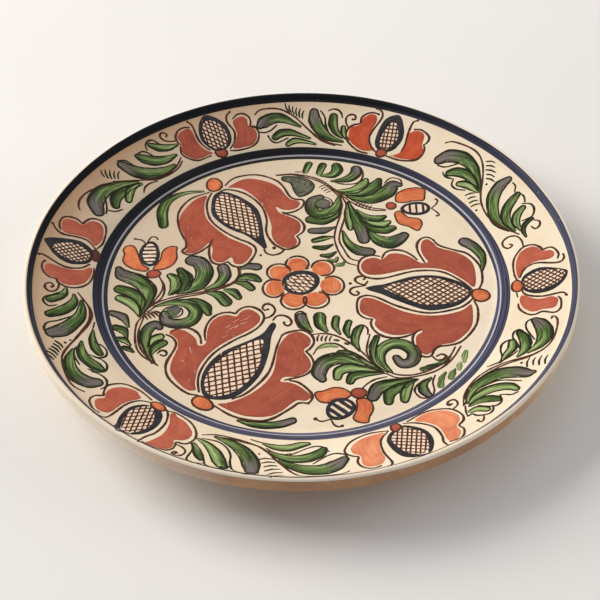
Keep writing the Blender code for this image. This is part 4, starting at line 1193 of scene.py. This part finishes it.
def make_rim_tulips():
    tulip("rim_tulip_1", "petal_red", PALE_RED, (-106, 18.2, 2.1, 3.9, 8),
          "-131.6,21.9 -117,26 -112.1,25.3 -106.6,19.8 -108.7,12.1 -117,8.6 -121.9,9.7 -126.1,12.8 -129.2,17",
          "-126.6,18.2 -119.1,22.8 -114.2,22.4 -108.6,17.7 -110.1,14.2 -114.2,11.8 -119.1,12 -123.3,14.2",
          [(-42, 2), (33, 2)],
          ["-106.6,24.6 -102.9,30.9 -103.8,39.6 -106.6,41.6 -110.1,41 -114.2,37.4 -117,38.8 -122.6,38.7 "
           "-124,36.5 -123.3,30.2 -120.5,28.9 -112.1,28.9 -109.4,27.6",
           "-106.8,9.3 -108.2,9.5 -110.8,7 -115.6,5.3 -120.5,5 -128.2,5.6 -129.5,3.1 -129,-0.4 -126.8,-3 "
           "-123.3,-3.4 -121.2,-5.8 -117.7,-6.6 -113.5,-5.6 -110.1,-3.2 -107.8,0.3 -106.6,5.1"],
          ["-105.5,23.3 -103.1,27.4 -102,38.6 -103.8,42.1 -106.9,43.2 -110.1,42.5 -112.5,40 -113.9,38.2 "
           "-116.3,40 -119.8,40.7 -123.3,39.6 -124.9,36.5 -125,33 -124.3,30.9",
           "-105.5,21.9 -110.1,27.1 -113.5,28.1 -123.3,28.1 -126.1,29.9 -128.5,34",
           "-108.3,11.4 -112.1,7.6 -119.8,5.8 -130.9,10.7 -133.4,10.7",
           "-129.6,6.9 -130.6,5.1 -130.6,1.7 -128.9,-1.8 -126.1,-3.9 -123.3,-3.9 -122.2,-6 -119.1,-7.7 "
           "-114.9,-7.7 -110.8,-5.6 -107.6,-1.8 -105.9,3.8 -105.9,9.3",
           "-122,-5.6 -121.4,-9 -122.6,-12.4 -125.2,-13.8 -127.6,-12 -127.6,-9.2 -125.2,-7.7 -123.8,-9.2 "
           "-124.6,-10.8"],
          dots=((-128.4, 33.6, 1), (-133, 10.3, 1), (-129.7, 6.6, 0.9), (-124.8, -10.2, 0.8)), knob=MAROON,
          line=RIM_LINE)
    tulip("rim_tulip_2", "petal_red", RED, (-42.9, 99.5, 3.2, 2.7),
          "-53,122 -49.4,122.3 -40.8,117.7 -37.2,108.5 -38.7,104 -42,100.8 -46,100 -53.6,105 -55.9,111.3 "
          "-55.4,117.7",
          "-52.2,118 -47,118.4 -42.6,115 -40,109.6 -40.2,105 -44,102 -48,102.8 -51.6,106.2 -53.4,112",
          [(108, 2.1), (-22, 2.1)],
          ["-35.8,102.8 -37,105 -34.6,111.3 -36.9,119.9 -31.5,123.4 -28.7,121.3 -28,118.2 -24.4,115.8 "
           "-23,112.7 -23.4,109.2 -25.8,105.6 -29.4,104.2",
           "-61.1,112.7 -66.8,108.5 -67.4,105.4 -65.4,102.4 -64.2,96.3 -57.2,93.6 -52.9,95 -50,97.2 -46.6,99 "
           "-49.6,99.8 -53.6,102 -56.6,105.6 -58.6,109.9"],
          ["-36.9,121.4 -34.4,124.2 -30.8,124.9 -27.6,122.7 -26.8,119 -27.2,117.4 -24.4,117 -22.3,113.5 "
           "-22.6,109.2 -25,105.6 -33.7,102 -38,101.4",
           "-38.7,125.6 -40.4,122.7 -40.1,119.2 -35.8,113.1 -36.2,106.3 -38,102.8",
           "-61.1,113.2 -64.3,112.5 -67.2,110 -68.3,106.3 -67.5,103.6 -65.5,101.6",
           "-65.5,100 -64.4,95.6 -56.5,93 -48.7,97",
           "-62.2,116.7 -59.7,114.9 -55.8,106.3 -52.9,102.8 -49.4,100.6",
           "-67.9,103.8 -70.8,102.8 -74.3,102.8 -76.8,104.9 -76.5,107 -74.7,107.7 -72.9,106.3 -73.4,105.4"],
          dots=((-38.7, 125.4, 0.9), (-62, 116.6, 0.9), (-73.4, 105.6, 0.8)), knob=RED, line=RIM_LINE)
    tulip("rim_tulip_3", "petal_orange", DEEP_ORANGE, (45.6, 97.5, 2.8, 2.5),
          "47.8,97.6 43.1,100.6 42.3,105 46.7,115.6 50.1,119 56.7,119.5 59,109.5 57.8,103.9 54.5,99.5 "
          "51.2,97.6",
          "46.2,99.8 45.4,104 47.2,109 53.6,115.8 55.2,108 54,104 48.6,99.4", [(78, 2.2), (-15, 2.3)],
          ["42.3,100 39.6,104.5 39.6,108.4 41.7,113.4 43.9,116.7 44.4,120.4 42.3,122.4 38.9,122.1 35.8,120 "
           "35,117.2 28.9,115 27.9,108.4 33.4,101.3 37.8,99.6",
           "49,95.3 55.4,96 61.8,107.2 64.5,108.2 68.2,107 69.9,103.9 68.3,97.8 68.8,95 67.2,91.8 64,90.2 "
           "55.6,91.9 51.7,94"],
          ["45.3,121.7 42.3,123.1 38.9,122.9 35.6,120.8 34.7,117.4 31.1,116.8 28.3,115.2 26.7,112.3 27,107.8 "
           "32.8,100.6 37.8,98.4",
           "44.5,125.4 47,123.4 47.3,120.1 39.5,108.4 40.6,101.2 42.8,98.4",
           "64.8,108.9 68.4,107.8 72.3,102.3 71.2,99.5 69,98.1",
           "69,98.1 69.3,95.6 67.9,92.2 64.5,89.8 55.6,91.2 47.8,95.4",
           "66.7,114.2 64.5,113.9 60.6,106.2 59,100.6 56.7,96.7",
           "27.8,115.6 26.7,119.5 27.5,122.3 30,123.4 32.2,122.3 32,120.2 30.4,120.1"],
          dots=((45.2, 121.7, 0.9), (44.5, 125.4, 0.9), (66.6, 114.2, 0.9), (64.8, 108.9, 0.8),
                (30.6, 120.3, 0.8)), knob=RED, line=RIM_LINE)
    tulip("rim_tulip_4", "petal_red", PALE_RED, (108.6, -9.6, 2.5, 4.2),
          "111.2,-5.1 113.6,-2.5 120.3,-0.5 131.8,-6.2 133.4,-8 130.5,-14.5 124,-18.7 116.7,-18.2 111.5,-14 "
          "111,-9.5",
          "112.5,-6.6 119.3,-3.3 127.6,-5.1 131.6,-8.5 128.7,-13 120.9,-15.6 113.6,-13.5 112.2,-10.6",
          [(28, 2.1), (-50, 2.1)],
          ["109.9,-5.1 109.2,4.3 111.9,12.7 114.9,14.9 118.3,15.3 120.9,14.1 122.5,11.6 124.3,10.1 127.1,9.6 "
           "128.7,7.4 128.6,5 127.1,3.6 124.5,3.3 119.3,3.9 113.6,1.6 110.9,-3.6",
           "109.9,-16.6 108.5,-19.2 109.4,-26 113.6,-30.7 118.8,-30.7 121.9,-31.5 124.5,-31 126.4,-25.5 "
           "123.5,-22.7 119.8,-22.6 116.2,-21.6 111.2,-17.1"],
          ["108.9,-4.9 108.2,-1 109.1,9.5 113.8,15.8 117.2,16.6 120.3,15.5 122.4,13.1 123.7,11 126.1,11.5 "
           "128.4,10.5 130.5,5.3 129.7,2.4",
           "110.7,-4.1 112.3,-0.4 115.1,2.2 119.3,3 128.7,-0.4 131.3,-0.2 132.7,1.7 132.7,4",
           "107.6,-22.3 107.8,-26 111.5,-31.7 114.6,-32.8 117.7,-32 123.5,-34.8 126.1,-33.3 127.4,-26.5 "
           "126.6,-24.4",
           "110.9,-11.4 110.7,-14.5 112.5,-17.6 119.3,-21.2 129.2,-22.3 130.4,-24.5",
           "107.8,-14.5 107.9,-17.1"], dots=((132.6, 4.1, 0.8), (130.3, -24.6, 1.0)), line=RIM_LINE)
    tulip("rim_tulip_5", "petal_orange", PALE_ORANGE, (42.4, -99.8, 2.4, 3),
          "45.3,-98.6 55.3,-103.8 58.7,-112.4 56.8,-122.2 54.2,-124.2 50.2,-125.1 43.3,-122.8 37.5,-110.1 "
          "39.8,-103.2 42.7,-102",
          "45.3,-100.7 53,-105 55.3,-109.6 55.3,-119.9 53.6,-122.4 46.7,-120.5 40.1,-109 42.7,-103.2",
          [(83, 2.2), (-14, 2.5)],
          ["37,-102.9 26.6,-106.4 21.4,-112.4 21,-115.9 22.2,-118.5 24.9,-120.3 25.7,-126.8 27.8,-129.1 "
           "34.1,-128.2 36.4,-123.3 35,-118.7 34.9,-109 36.3,-105.2",
           "51.6,-94.9 57.6,-90.9 66.2,-91.2 71.2,-95.8 71.8,-99.2 69.9,-105 70.9,-107.3 71.2,-110.1 "
           "69.8,-113.4 67.4,-115.5 65.4,-115.7 61.8,-104.4 59,-100.7 55.3,-98.3 51.3,-96.4"],
          ["38.7,-101.8 29.5,-103 21.5,-108.4 18.3,-115.9 19.5,-118.7 22,-120.2 24.3,-121 23.8,-124.5 "
           "24.6,-127.4 27.2,-129.9 30.6,-130.5 34.1,-129.1",
           "38.7,-102.1 35.1,-109 35.8,-118.7 39,-126.8 38.7,-129.1 37.2,-130.2",
           "47.9,-96.1 55.3,-90.9 59.9,-89.5 68.5,-90.9 73.1,-96.9 73.1,-100.9 70.8,-104.4 72.6,-107.3 "
           "71.4,-113.3 65.7,-115.8",
           "46.1,-97.2 51.3,-97.8 59.3,-102.7 62.5,-110.7 62.8,-115.3 64.5,-118.7",
           "69.4,-91.2 71.7,-88.3 71.7,-85.4 70,-83.7 68,-84.6 67.1,-86.9 68.2,-88 69.4,-86.9"],
          dots=((68.3, -87, 0.9),), knob=RED, line=RIM_LINE)
    tulip("rim_tulip_6", "petal_red", PALE_RED, (-67.6, -85, 3.9, 2.5, -42),
          "-70.7,-85.4 -73.7,-84.7 -80.3,-88.2 -84.3,-96.3 -85.1,-101.3 -85.9,-106.4 -84.3,-108.9 "
          "-80.8,-109.9 -72.7,-107.9 -66.7,-100.8 -64.9,-92.2 -65.9,-88.9 -67.7,-87.2",
          "-71.7,-86.2 -78.3,-89.7 -81.8,-97.3 -82.1,-106.6 -80.3,-107.9 -76.3,-106.9 -70.2,-100.8 "
          "-69.6,-88.7", [(81, 2.2), (20, 2.6)],
          ["-75.8,-80.4 -76.8,-78.1 -78.3,-75.3 -85.4,-73.8 -91,-77.3 -92.3,-80.6 -92.3,-83.9 -94.7,-85.1 "
           "-96.3,-86.9 -94.8,-93.6 -89.6,-95.4 -83.6,-87 -80.5,-83.9 -77.8,-82.3",
           "-61.6,-88.9 -59.6,-88.9 -58.3,-91.2 -55.3,-93.8 -51.1,-101.3 -50.8,-104.9 -52.2,-108.2 "
           "-55.1,-110.1 -58.3,-110.2 -58.4,-113.4 -59.4,-116.3 -61.6,-117.8 -64.7,-117.8 -71.5,-114.5 "
           "-69.2,-112.2 -64.4,-106.4 -62,-98.3 -62.1,-90.7"],
          ["-71,-80.6 -76.3,-75.1 -82.8,-71.6 -86.4,-71.6 -91.7,-74.6 -93,-80.6 -92.9,-82.6 -95.9,-83.4 "
           "-98,-85.4 -98.6,-88.2 -95.9,-94.3 -93.4,-95.8",
           "-71.7,-82.6 -75.8,-82.4 -79.8,-84.4 -82.8,-87.7 -89.4,-98.3 -91.9,-99.3 -95.7,-97.5",
           "-62.6,-87.7 -59.1,-88.7 -51.5,-95.8 -49,-104.3 -50,-108.9 -53.6,-112.4 -57.6,-111.7 -57.9,-113.9 "
           "-59.1,-117 -62.1,-118.5 -69.2,-116.7 -72.2,-114.4",
           "-64.9,-85.2 -63.2,-88.2 -63.4,-97.3 -67.7,-106.4 -71.2,-109.4 -73.7,-112.9 -74.2,-115.2",
           "-57.3,-113.4 -54.6,-115.2 -53.1,-118 -54.1,-120.7 -56.6,-122 -58.9,-121 -58.6,-119.2 -57.1,-119 "
           "-56.5,-120"], dots=((-57.6, -120.2, 0.9),), line=RIM_LINE)


def make_rim_sprays():
    spray("rim_spray_1",
          [("-118,-8.8 -118.4,-12.8 -120.8,-16 -124.4,-19.2", "0.5 1.6 2.2 2.1", "green"),
           ("-114,-12 -113.2,-16 -114.8,-20.8 -118.4,-25.6 -123.6,-30", "0.5 1.6 2.4 2.7 2.1", "green"),
           ("-110,-15.2 -109.2,-21.6 -110,-28 -116.8,-40 -120.8,-43", "0.5 2 2.8 4 3.2", "slate"),
           ("-102.4,-35.2 -102,-41.6 -100,-48 -97.8,-51.4", "0.4 1.6 2.2 1.7", "green"),
           ("-106.8,-44.8 -106.4,-51.2 -104,-56.8 -98.4,-61.6 -96.4,-62.8", "0.4 2 2.8 2.9 1.9", "green"),
           ("-110,-52 -110.8,-59.2 -109.6,-66.4 -105.6,-72 -100,-74.4 -97,-73.6", "0.5 2.2 3.2 4 4.1 3",
            "slate")],
          stems=["-112,-10.4 -105.6,-19.2 -104,-24 -104.4,-29.6 -114,-56 -114,-62.4 -109.6,-75.2 "
                 "-106.4,-79.6 -101.6,-82.2",
                 "-110.4,-12.8 -106.6,-18 -105,-24 -105.4,-30 -110,-43.4", "-102.4,-29.2 -102.8,-36"],
          loops=["-113.2,-28 -119,-33.2 -124,-36.8 -124.8,-41 -122.6,-45 -120,-46.8",
                 "-118.6,-13.4 -127,-18.4 -127.4,-21.6 -124.6,-24.2 -121,-22.4",
                 "-101,-43.8 -97,-45.4 -94.6,-49 -95.2,-53.2 -98,-54.6 -102,-53.8",
                 "-100,-54.8 -96,-56 -93.6,-59.2 -94,-64 -96.8,-65.6 -101.6,-64.8",
                 "-100,-66 -96,-67.2 -92.8,-70.4 -92.4,-75.2 -94.4,-78",
                 "-107,-48 -109.4,-51.6 -108.8,-57 -106,-62.4"],
          dashes=[((-116.6, -50.6), (-119.8, -61), 6, 5.2, (-44, -36), 0.62, 1)],
          dots=((-112, -45.8, 0.8), (-114.1, -48.4, 0.9)))
    spray("rim_spray_2",
          [("-67,101.5 -72,98.8 -77,97.8 -82,98.5", "0.5 1.8 2.2 1.2", "green"),
           ("-67.4,95 -73,91 -79,89 -85,89 -88.4,90", "0.5 2.2 2.8 2.6 1.2", "green"),
           ("-68,88.5 -74,83 -82,80 -90,80 -96.5,82.5", "0.6 2.8 3.6 3.4 2.2", "slate"),
           ("-87,73.4 -97,69 -105.4,62 -108.4,54 -106.6,48.6", "0.5 2 3.8 4.2 3", "slate"),
           ("-86.6,72 -94,66 -98.4,59 -98.2,55.2", "0.4 2.2 2.7 2.1", "green"),
           ("-85,72.8 -89.3,69.9 -91.4,64.9 -91.6,60.4", "0.5 1.5 2.2 1.6", "light")],
          stems=["-64.3,91.3 -66.5,86.3 -76.5,77.8 -83.6,75.6 -100,70.6",
                 "-65,93.5 -67.2,87.8 -71.5,82.8 -78.6,78.1 -84.3,76",
                 "-77.2,76.3 -81.5,73.5 -83.6,70.6 -84,67.4",
                 "-98,69.6 -107.4,64.6 -113.6,59 -116.6,53 -116.6,48.6 -115.8,46.8"],
          loops=["-76,99.6 -81,101.8 -83.4,100.6 -84.4,97.6 -83.4,95",
                 "-89,91 -85.7,93.5 -82.9,93.2 -79.3,91.4", "-98.9,84.4 -95,85.6 -90,83.6",
                 "-102.6,48.4 -102.4,51 -103,55.6 -104,59.4", "-94.6,53.4 -97.6,51.2 -101.4,50.8"],
          dashes=[((-106, 74.4), (-97.6, 75.4), 5, 5, (118, 88), 0.52, 1)])
    spray("rim_spray_3",
          [("1.3,117.5 -9.5,122.8 -15,122.4 -20,119.6 -21.6,117.8", "0.5 2.6 3.2 3.3 1.8", "slate"),
           ("6.5,110.2 -5,114 -10,113.4 -13,111", "0.4 1.8 2.2 1.7", "green"),
           ("9.6,106.4 3,108.4 -2.5,108.8 -6,106.8", "0.4 1 1.6 1.2", "light"),
           ("24.8,107 17.5,110 12,115.5 9.3,121.5 9,126.2", "0.5 1.8 3 3.4 2.3", "slate"),
           ("24.4,109.6 21,113.5 19.6,118.5 19.9,122.8", "0.6 1.8 2.4 2.1", "green"),
           ("28,107.6 25.4,111 25.2,115.6", "0.4 1.2 1.2", "light")],
          stems=["-24.5,124.7 -22.2,127.3 -18.5,128.6 -10.2,128.4 -2.9,124.4 12.8,108.5 20,105.1",
                 "-1.8,123.9 5.5,115.8 13.3,109 18,106.6 23.7,104.9"],
          loops=["-22.2,114 -19,113.7 -15.4,115.3 -12.3,118.4", "-17,111.7 -14.9,108.5 -12.3,107.7 -6,110.6",
                 "12.8,127 14.9,123.1 15.4,117.9 17,113.2 20,110.1",
                 "17.2,126.8 19.6,127.6 22.7,126.8 24.5,124.2 24.8,122.1"],
          dashes=[((-6.3, 129.6), (2.8, 125), 6, 5.3, (111, 80), 0.52, 1)], dots=((-17, 111.6, 0.8),))
    spray("rim_spray_4",
          [("96.6,60 96,70 94,78 89,85 82,88 77,87", "0.6 1.6 2.6 3.7 3.8 2.8", "slate"),
           ("96,62 93.5,69 89.5,74.5 85,77 81.5,77.2", "0.5 2 2.6 2.6 1.8", "green"),
           ("95.6,60.6 92.6,64.6 89,67.8 86,69", "0.5 1.8 2 1.4", "light"),
           ("109,30 103.5,38 102.2,48 103.6,56 107.6,61.6 111.6,64", "0.8 2.2 2.8 3.3 3.1 1.8", "slate"),
           ("111.6,28.6 108.4,36 108.6,43.4 112,49 115.2,52.6", "0.6 2 2.4 2.3 1.5", "green"),
           ("114.8,28 112.8,34 114,39.4 117,42.8", "0.5 1.8 2.1 1.4", "light"),
           ("116.6,22.6 115.8,28 117.6,32 120.6,34", "0.4 1 1.2 0.8", "dark")],
          stems=["80.8,96.9 84.2,96.9 94.2,90.1 98,84.7 99.4,77.8 98.8,69.4 97.2,61.7 96.6,54.1 98,46.4 "
                 "101.1,39.6 105.7,33.4 113.3,25.8",
                 "121,33 124,31.1 124,28.1 121.7,26.5 119.8,28.8",
                 "114.5,16.6 114.1,21.2 111.8,25 108,25.8 104.9,23.5 104.9,20.4 107.2,18.1 109.5,19.7 "
                 "108,20.8"],
          loops=["75.8,83.5 79.7,81.6 86.5,82", "78.1,78.6 79.3,75.5 82.7,73.2",
                 "83.5,72.8 82.3,69.4 84.2,66.3 88.8,64", "113.7,61 114.8,58.7 114.1,54.9",
                 "116.4,53.3 118.3,50.3 118.5,46.4", "117.1,45.7 121,44.1 122.5,40.3 121,35.7 116,34.2"],
          dashes=[((91.4, 60.6), (93.6, 52.6), 4, 4.4, (2, 6), 0.52, 1),
                  ((103.7, 78.2), (102.6, 66.4), 5, 5.2, (-25, -42), 0.52, 1)],
          dots=((93.8, 49.1, 0.8), (100.3, 64.4, 0.8)))
    spray("rim_spray_5",
          [("94.4,-62 97.9,-57.1 101,-53 101.6,-49", "0.4 1.6 2.2 1.7", "light"),
           ("102.4,-60.6 105.9,-57.1 107.5,-52.3 107.2,-47.4 105.8,-43.4", "0.5 2 2.6 2.4 1.5", "green"),
           ("107.3,-59.2 112.9,-55.7 116.3,-50.9 117,-45.3 115.7,-39.9 113.8,-36.9",
            "0.6 2.2 3.5 3.8 3.1 1.7", "slate"),
           ("76.4,-88.5 77.4,-82.9 80.9,-77.3 86.4,-73.1 93.4,-70.7 100.4,-71.8 105.6,-74.3 108.2,-74.3",
            "0.5 1.4 2.4 3.2 3.8 3.9 2.8 1", "slate"),
           ("76.7,-89.2 80.2,-85 85.7,-81.5 92,-80.5 96.9,-81.8 98.9,-84", "0.5 1.8 2.6 2.6 2.4 1.5",
            "light"),
           ("76.7,-91.2 80.9,-88.5 85.7,-87.8 89.7,-89", "0.5 1.6 2.4 1.9", "green"),
           ("76.4,-95.4 80.2,-94 84.2,-95.4", "1 1.8 1.6", "light")],
          stems=["74.3,-89.8 75.3,-82.9 78.1,-75.9 83,-69.7 89.2,-65.5 96.2,-63.1 110.1,-61.3 115.7,-58.5 "
                 "119.8,-53.7 123.7,-42.5 123.5,-38.4 121.9,-37 121.2,-38.7",
                 "75,-89.2 78.8,-77.3 83.7,-71.1 89.9,-66.9 96.9,-64.3 108,-62.4 114.3,-59.6",
                 "75,-90.5 74.9,-94.6 75.3,-98.5", "88.2,-63.4 94.1,-61.7 99,-59.4 103.1,-56.4",
                 "82.3,-99.6 82.1,-102.4 80.9,-104.1 79.1,-103.1"],
          loops=["94.1,-62.4 95.8,-57.8 95.6,-53 96.9,-48.8 99.7,-47 102.4,-47.4 103.8,-50.9",
                 "104.5,-55.7 103.5,-50.2 102.3,-45.3 103.5,-41.8 105.9,-41 107.3,-42.5",
                 "111.8,-50.9 109.1,-40.4 110.1,-36.6 112.5,-35.4",
                 "83,-78.7 87.8,-76.3 92.7,-75.6 101.8,-78.9", "91.3,-86.4 93.4,-86.7 96.2,-87.8 99.3,-86.7",
                 "91.3,-87.1 91.7,-89.8 90.6,-92.6 87.8,-94 80.9,-91.6",
                 "87.1,-93.3 87.1,-96.1 85.1,-98.9 79.5,-98.9 77.4,-97.2 75.3,-98.5"],
          dashes=[((106.8, -66.5), (115, -67.2), 4, 5.8, (72, 70), 0.52, 1)],
          dots=((79.5, -102.7, 0.9), (103.7, -65.8, 0.9), (121.7, -38.2, 0.7)))
    spray("rim_spray_6",
          [("-49.8,-111.2 -48.3,-116.3 -46.7,-121 -45.9,-123.4", "0.8 1.8 1.8 0.9", "green"),
           ("-48.3,-107.3 -43.6,-111.6 -40.4,-117 -38.1,-123.3 -36.2,-128.2", "0.5 1.8 2.6 3 2.1", "light"),
           ("-40.4,-104.9 -34.2,-108.4 -28.7,-113.9 -25.2,-120.2 -23.6,-126.4 -23.2,-131.4",
            "0.6 2.2 3.2 3.8 3.9 2.7", "slate"),
           ("-18.5,-108.8 -13,-111.6 -6.8,-112 -1.3,-109.6 1.8,-108.8", "0.5 1.9 2.5 2 1.1", "light"),
           ("-17,-114.7 -11.5,-118.6 -5.2,-121 1.8,-120.2 7.3,-116.3 8.9,-113.5", "0.5 1.8 2.6 3.1 2.7 1.5",
            "green"),
           ("-11.5,-122.5 -6,-126.4 1,-129.6 8.9,-129.6 14.3,-126.4 17.9,-122.3", "0.5 2 3.2 3.8 3.7 2.1",
            "slate")],
          stems=["-46.3,-104.1 -40.4,-103.3 -34.2,-104.5 -21.7,-110.4 -16.2,-116.3 -12.3,-122.5 -4.4,-132.7 "
                 "0.3,-135.2 6.5,-135.8 17.1,-133.5 19.8,-131.7",
                 "-41,-104.9 -34,-105.7 -27.4,-108.2 -20.1,-111.4 -11.1,-121.7",
                 "-24,-105.7 -18.5,-108.2 -12,-110"],
          loops=["-51.4,-110.8 -49.8,-114.7 -52.3,-124.1 -51,-126.4 -47.9,-127.6 -45.1,-126.4",
                 "-44.7,-122 -44,-127.2 -41.6,-129.9 -35,-130.3 -33.4,-128",
                 "-45.9,-106.9 -38.9,-108.8 -35,-113.1 -33,-118.6 -33,-125.4 -32,-129.8 -29.5,-132.7 "
                 "-25.6,-134.3 -21.7,-133.9",
                 "-6,-117.6 4.9,-111.2 8.9,-112 11.2,-115.5", "-17,-112.6 -13.4,-116 -9,-117.6 -6,-116.8",
                 "4,-125.2 10.4,-119 14.3,-117.4 18.3,-118.6 19.8,-121.7"],
          dashes=[((-17, -121.4), (-12, -135.4), 6, 6.4, (2, 18), 0.56, 1)], dots=((-20.2, -117.2, 0.8),))


# ---------------------------------------------------------------- studio

# metres from the middle of the floor to its sides
FLOOR_REACH = 3.0

# azimuth from +x, anticlockwise from above, and height above the table in degrees; distance, width and
# height in metres; watts, colour, and whether the glaze mirrors it
SOFTBOXES = {"window": (150, 29, 2.6, 1.9, 1.3, 82, (1.0, 0.95, 0.89), False),
             "right_fill": (10, 24, 2.4, 1.6, 1.2, 16, (1.0, 0.95, 0.9), False),
             "overhead": (100, 62, 2.6, 2.4, 1.8, 7, (0.98, 0.98, 1.0), True)}

# lens and sensor in millimetres, and where the camera looks from to frame the plate as the photograph does
LENS = 88.5
SENSOR = 36
CAMERA_TARGET = (-0.69, -12.47, 12.8)
CAMERA_DISTANCE = 742.7
CAMERA_RISE = math.radians(45.31)
CAMERA_ROLL = math.radians(-0.93)


def add_camera():
    data = bpy.data.cameras.new("camera")
    data.lens = LENS
    data.sensor_width = SENSOR
    camera = bpy.data.objects.new("camera", data)
    back = Vector((0, -math.cos(CAMERA_RISE), math.sin(CAMERA_RISE)))
    right = Vector((1, 0, 0))
    up = back.cross(right)
    level = math.cos(CAMERA_ROLL) * right + math.sin(CAMERA_ROLL) * up
    upright = math.cos(CAMERA_ROLL) * up - math.sin(CAMERA_ROLL) * right
    turn = Matrix((level, upright, back)).transposed().to_4x4()
    camera.matrix_world = Matrix.Translation((Vector(CAMERA_TARGET) + back * CAMERA_DISTANCE) * MM) @ turn
    bpy.context.scene.collection.objects.link(camera)
    bpy.context.scene.camera = camera


def add_softbox(name, azimuth, rise, distance, width, height, watts, colour, mirrored):
    """A rectangular soft light that faces the plate."""
    data = bpy.data.lights.new(name, "AREA")
    data.shape = "RECTANGLE"
    data.size, data.size_y = width, height
    data.energy = watts
    data.color = colour
    light = bpy.data.objects.new(name, data)
    a, e = math.radians(azimuth), math.radians(rise)
    away = Vector((math.cos(a) * math.cos(e), math.sin(a) * math.cos(e), math.sin(e)))
    light.location = away * distance
    light.rotation_euler = away.to_track_quat("Z", "Y").to_euler()
    light.visible_glossy = mirrored
    bpy.context.scene.collection.objects.link(light)


def make_studio():
    verts = [(x * FLOOR_REACH, y * FLOOR_REACH, 0) for x, y in ((-1, -1), (1, -1), (1, 1), (-1, 1))]
    mesh = bpy.data.meshes.new("floor")
    mesh.from_pydata(verts, [], [(0, 1, 2, 3)])
    mesh.materials.append(floor_look())
    floor = bpy.data.objects.new("floor", mesh)
    bpy.context.scene.collection.objects.link(floor)
    world = bpy.data.worlds.new("studio")
    world.use_nodes = True
    links, nodes = world.node_tree.links, world.node_tree.nodes
    split = nodes.new("ShaderNodeSeparateXYZ")
    links.new(nodes.new("ShaderNodeTexCoord").outputs["Generated"], split.inputs[0])
    fade = nodes.new("ShaderNodeMapRange")
    links.new(split.outputs[2], fade.inputs["Value"])
    for key, value in (("From Min", 0.02), ("From Max", 0.2), ("To Min", 0.78), ("To Max", 0.3)):
        fade.inputs[key].default_value = value
    sky = nodes["Background"]
    sky.inputs["Color"].default_value = (0.94, 0.95, 1.0, 1)
    links.new(fade.outputs[0], sky.inputs["Strength"])
    bpy.context.scene.world = world
    for name, box in SOFTBOXES.items():
        add_softbox(name, *box)
    bpy.context.scene.view_settings.view_transform = "Standard"


add_camera()
make_studio()
make_body()
make_big_tulips()
make_rosette()
make_buds()
make_well_sprays()
make_lone_leaves()
make_rim_tulips()
make_rim_sprays()
